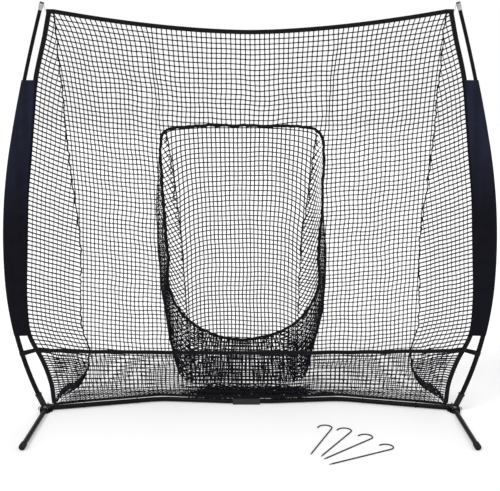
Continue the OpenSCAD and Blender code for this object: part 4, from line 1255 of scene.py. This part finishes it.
def sleeve(side, hand):
    z = np.linspace(sleeve_low, sleeve_top, 190)
    grid, across = sleeve_rows(side, z)
    i, j, quads = grid_quads(*grid.shape[:2], wrapped=False)
    uv = grid_uvs(i, j, z, across)
    if side == RIGHT:
        quads = quads[:, ::-1]
        uv = uv.reshape(-1, 4, 2)[:, ::-1].reshape(-1, 2)
    sheet = mesh_object(f"{hand}_sleeve_cloth", grid.reshape(-1, 3), quads, uv, cloth)
    solid = sheet.modifiers.new("thickness", "SOLIDIFY")
    solid.thickness = 0.0009
    solid.offset = 0
    piece(sheet, "sleeve_cloth", f"{hand}_sleeve")


for side, hand in SIDES.items():
    sleeve(side, hand)


# ---- Strap tabs, net ties and corner tabs ----
def strap_loop(side, hand):
    """Loop of webbing from the strap's end round the pole, square to the leaning pole."""
    a = pole_lean(strap_z)
    z = float(strap_line_z(strap_x)) - (float(pole_x(strap_z)) - strap_x) * math.tan(a)
    reach = (float(pole_x(z)) - strap_x) / math.cos(a) - 0.002
    section = hairpin(reach, tube_r + 0.0009, 0.0016, 22, 8)
    out, up = np.array([math.cos(a), 0, -math.sin(a)]), np.array([side * math.sin(a), 0, math.cos(a)])
    path = np.array([float(pole_x(z)), frame_y, z]) + section[:, :1] * out + section[:, 1:] * np.array(Y)
    path[:, 0] *= side
    band(f"{hand}_strap_loop", f"{hand}_strap_tab", path, up, strap_h, 0.0012, strap_web)


def net_loops(side, hand):
    """Two rings of cord, from the bottom binding round the base tube."""
    r = (net_low + 0.0096 - tie_low) / 2
    a = np.linspace(0, 2 * np.pi, 41)[:-1]
    loops = []
    for x in tie_places:
        heading = math.atan2(float(base_y(x + 0.001) - base_y(x)), 0.001)
        path = xyz(-np.sin(heading) * r * np.cos(a), np.cos(heading) * r * np.cos(a),
                   tie_low + r + r * np.sin(a))
        path += [x, float(base_y(x)), 0]
        path[:, 0] *= side
        loops.append(swept(path, circle(tie_wire, 8), X, closed=True))
    piece(joined(f"{hand}_net_loops", loops, twine), "cord", "net_ties")


def corner_tab(side, hand):
    x = np.linspace(hem_x, corner_x - 0.012, 20)
    path = xyz(side * x, frame_y, plate_top + bolt_head_h + 0.0006 + tab_t / 2)
    band(f"{hand}_corner_webbing", "corner_tabs", path, Y, tab_w, tab_t, web)


for side, hand in SIDES.items():
    strap_loop(side, hand)
for side, hand in SIDES.items():
    net_loops(side, hand)
    corner_tab(side, hand)

# ---- Camera ----
CAMERA_PLACE, CAMERA_PITCH = (0, -4.915, 1.75), -10.0
FOCAL_PIXELS, PHOTO_WIDTH, SENSOR = 936.1, 500, 36
camera = add_object("camera", bpy.data.cameras.new("camera"))
camera.location = CAMERA_PLACE
camera.rotation_euler = (math.radians(90 + CAMERA_PITCH), 0, 0)
camera.data.sensor_width = SENSOR
camera.data.sensor_fit = "HORIZONTAL"
camera.data.lens = SENSOR * FOCAL_PIXELS / PHOTO_WIDTH
camera.data.clip_end = 100
bpy.context.scene.camera = camera


# ---- Light, background and floor ----
def sun(name, azimuth, height, strength, spread):
    """Soft light from far away: azimuth is from the front towards the right, in degrees."""
    light = bpy.data.lights.new(name, "SUN")
    light.energy = strength
    light.angle = math.radians(spread)
    a, h = math.radians(azimuth), math.radians(height)
    toward = Vector((math.sin(a) * math.cos(h), -math.cos(a) * math.cos(h), math.sin(h)))
    o = add_object(name, light)
    o.rotation_euler = toward.to_track_quat("Z", "Y").to_euler()
    o.location = toward * 4


def background():
    """White where it is seen directly, reflected or through something, and dimmer as light on the object."""
    world = bpy.data.worlds.new("studio")
    bpy.context.scene.world = world
    sky = Nodes(world, "Background", Color=(1, 1, 1))
    ray = sky.add("LightPath").outputs
    seen = sky.math("MAXIMUM", ray["Is Camera Ray"], ray["Is Glossy Ray"])
    seen = sky.math("MAXIMUM", seen, ray["Is Transmission Ray"])
    level = sky.add("MapRange", Value=seen)
    level.inputs["To Min"].default_value = 0.45
    level.inputs["To Max"].default_value = 1.0
    sky.set(Strength=level.outputs["Result"])


def floor():
    """A light floor that keeps the object's shadow, with a glow that makes up for the light it lacks."""
    m = material("floor", Roughness=0.9, Specular_IOR_Level=0.1, Base_Color=(0.84, 0.84, 0.84))
    ray = m.add("LightPath").outputs
    glow = m.math("MULTIPLY", m.math("MAXIMUM", ray["Is Camera Ray"], ray["Is Glossy Ray"]), 0.29)
    m.set(Emission_Color=(1, 1, 1), Emission_Strength=glow)
    corners = [(-30, -30, 0), (30, -30, 0), (30, 30, 0), (-30, 30, 0)]
    return mesh_object("floor", corners, np.array([[0, 1, 2, 3]]), None, m.owner, smooth=False)


sun("key", -38, 48, 1.35, 28)
sun("fill", 42, 30, 0.60, 60)
sun("back", 165, 50, 0.50, 40)
background()
floor()
bpy.context.scene.view_settings.view_transform = "Standard"
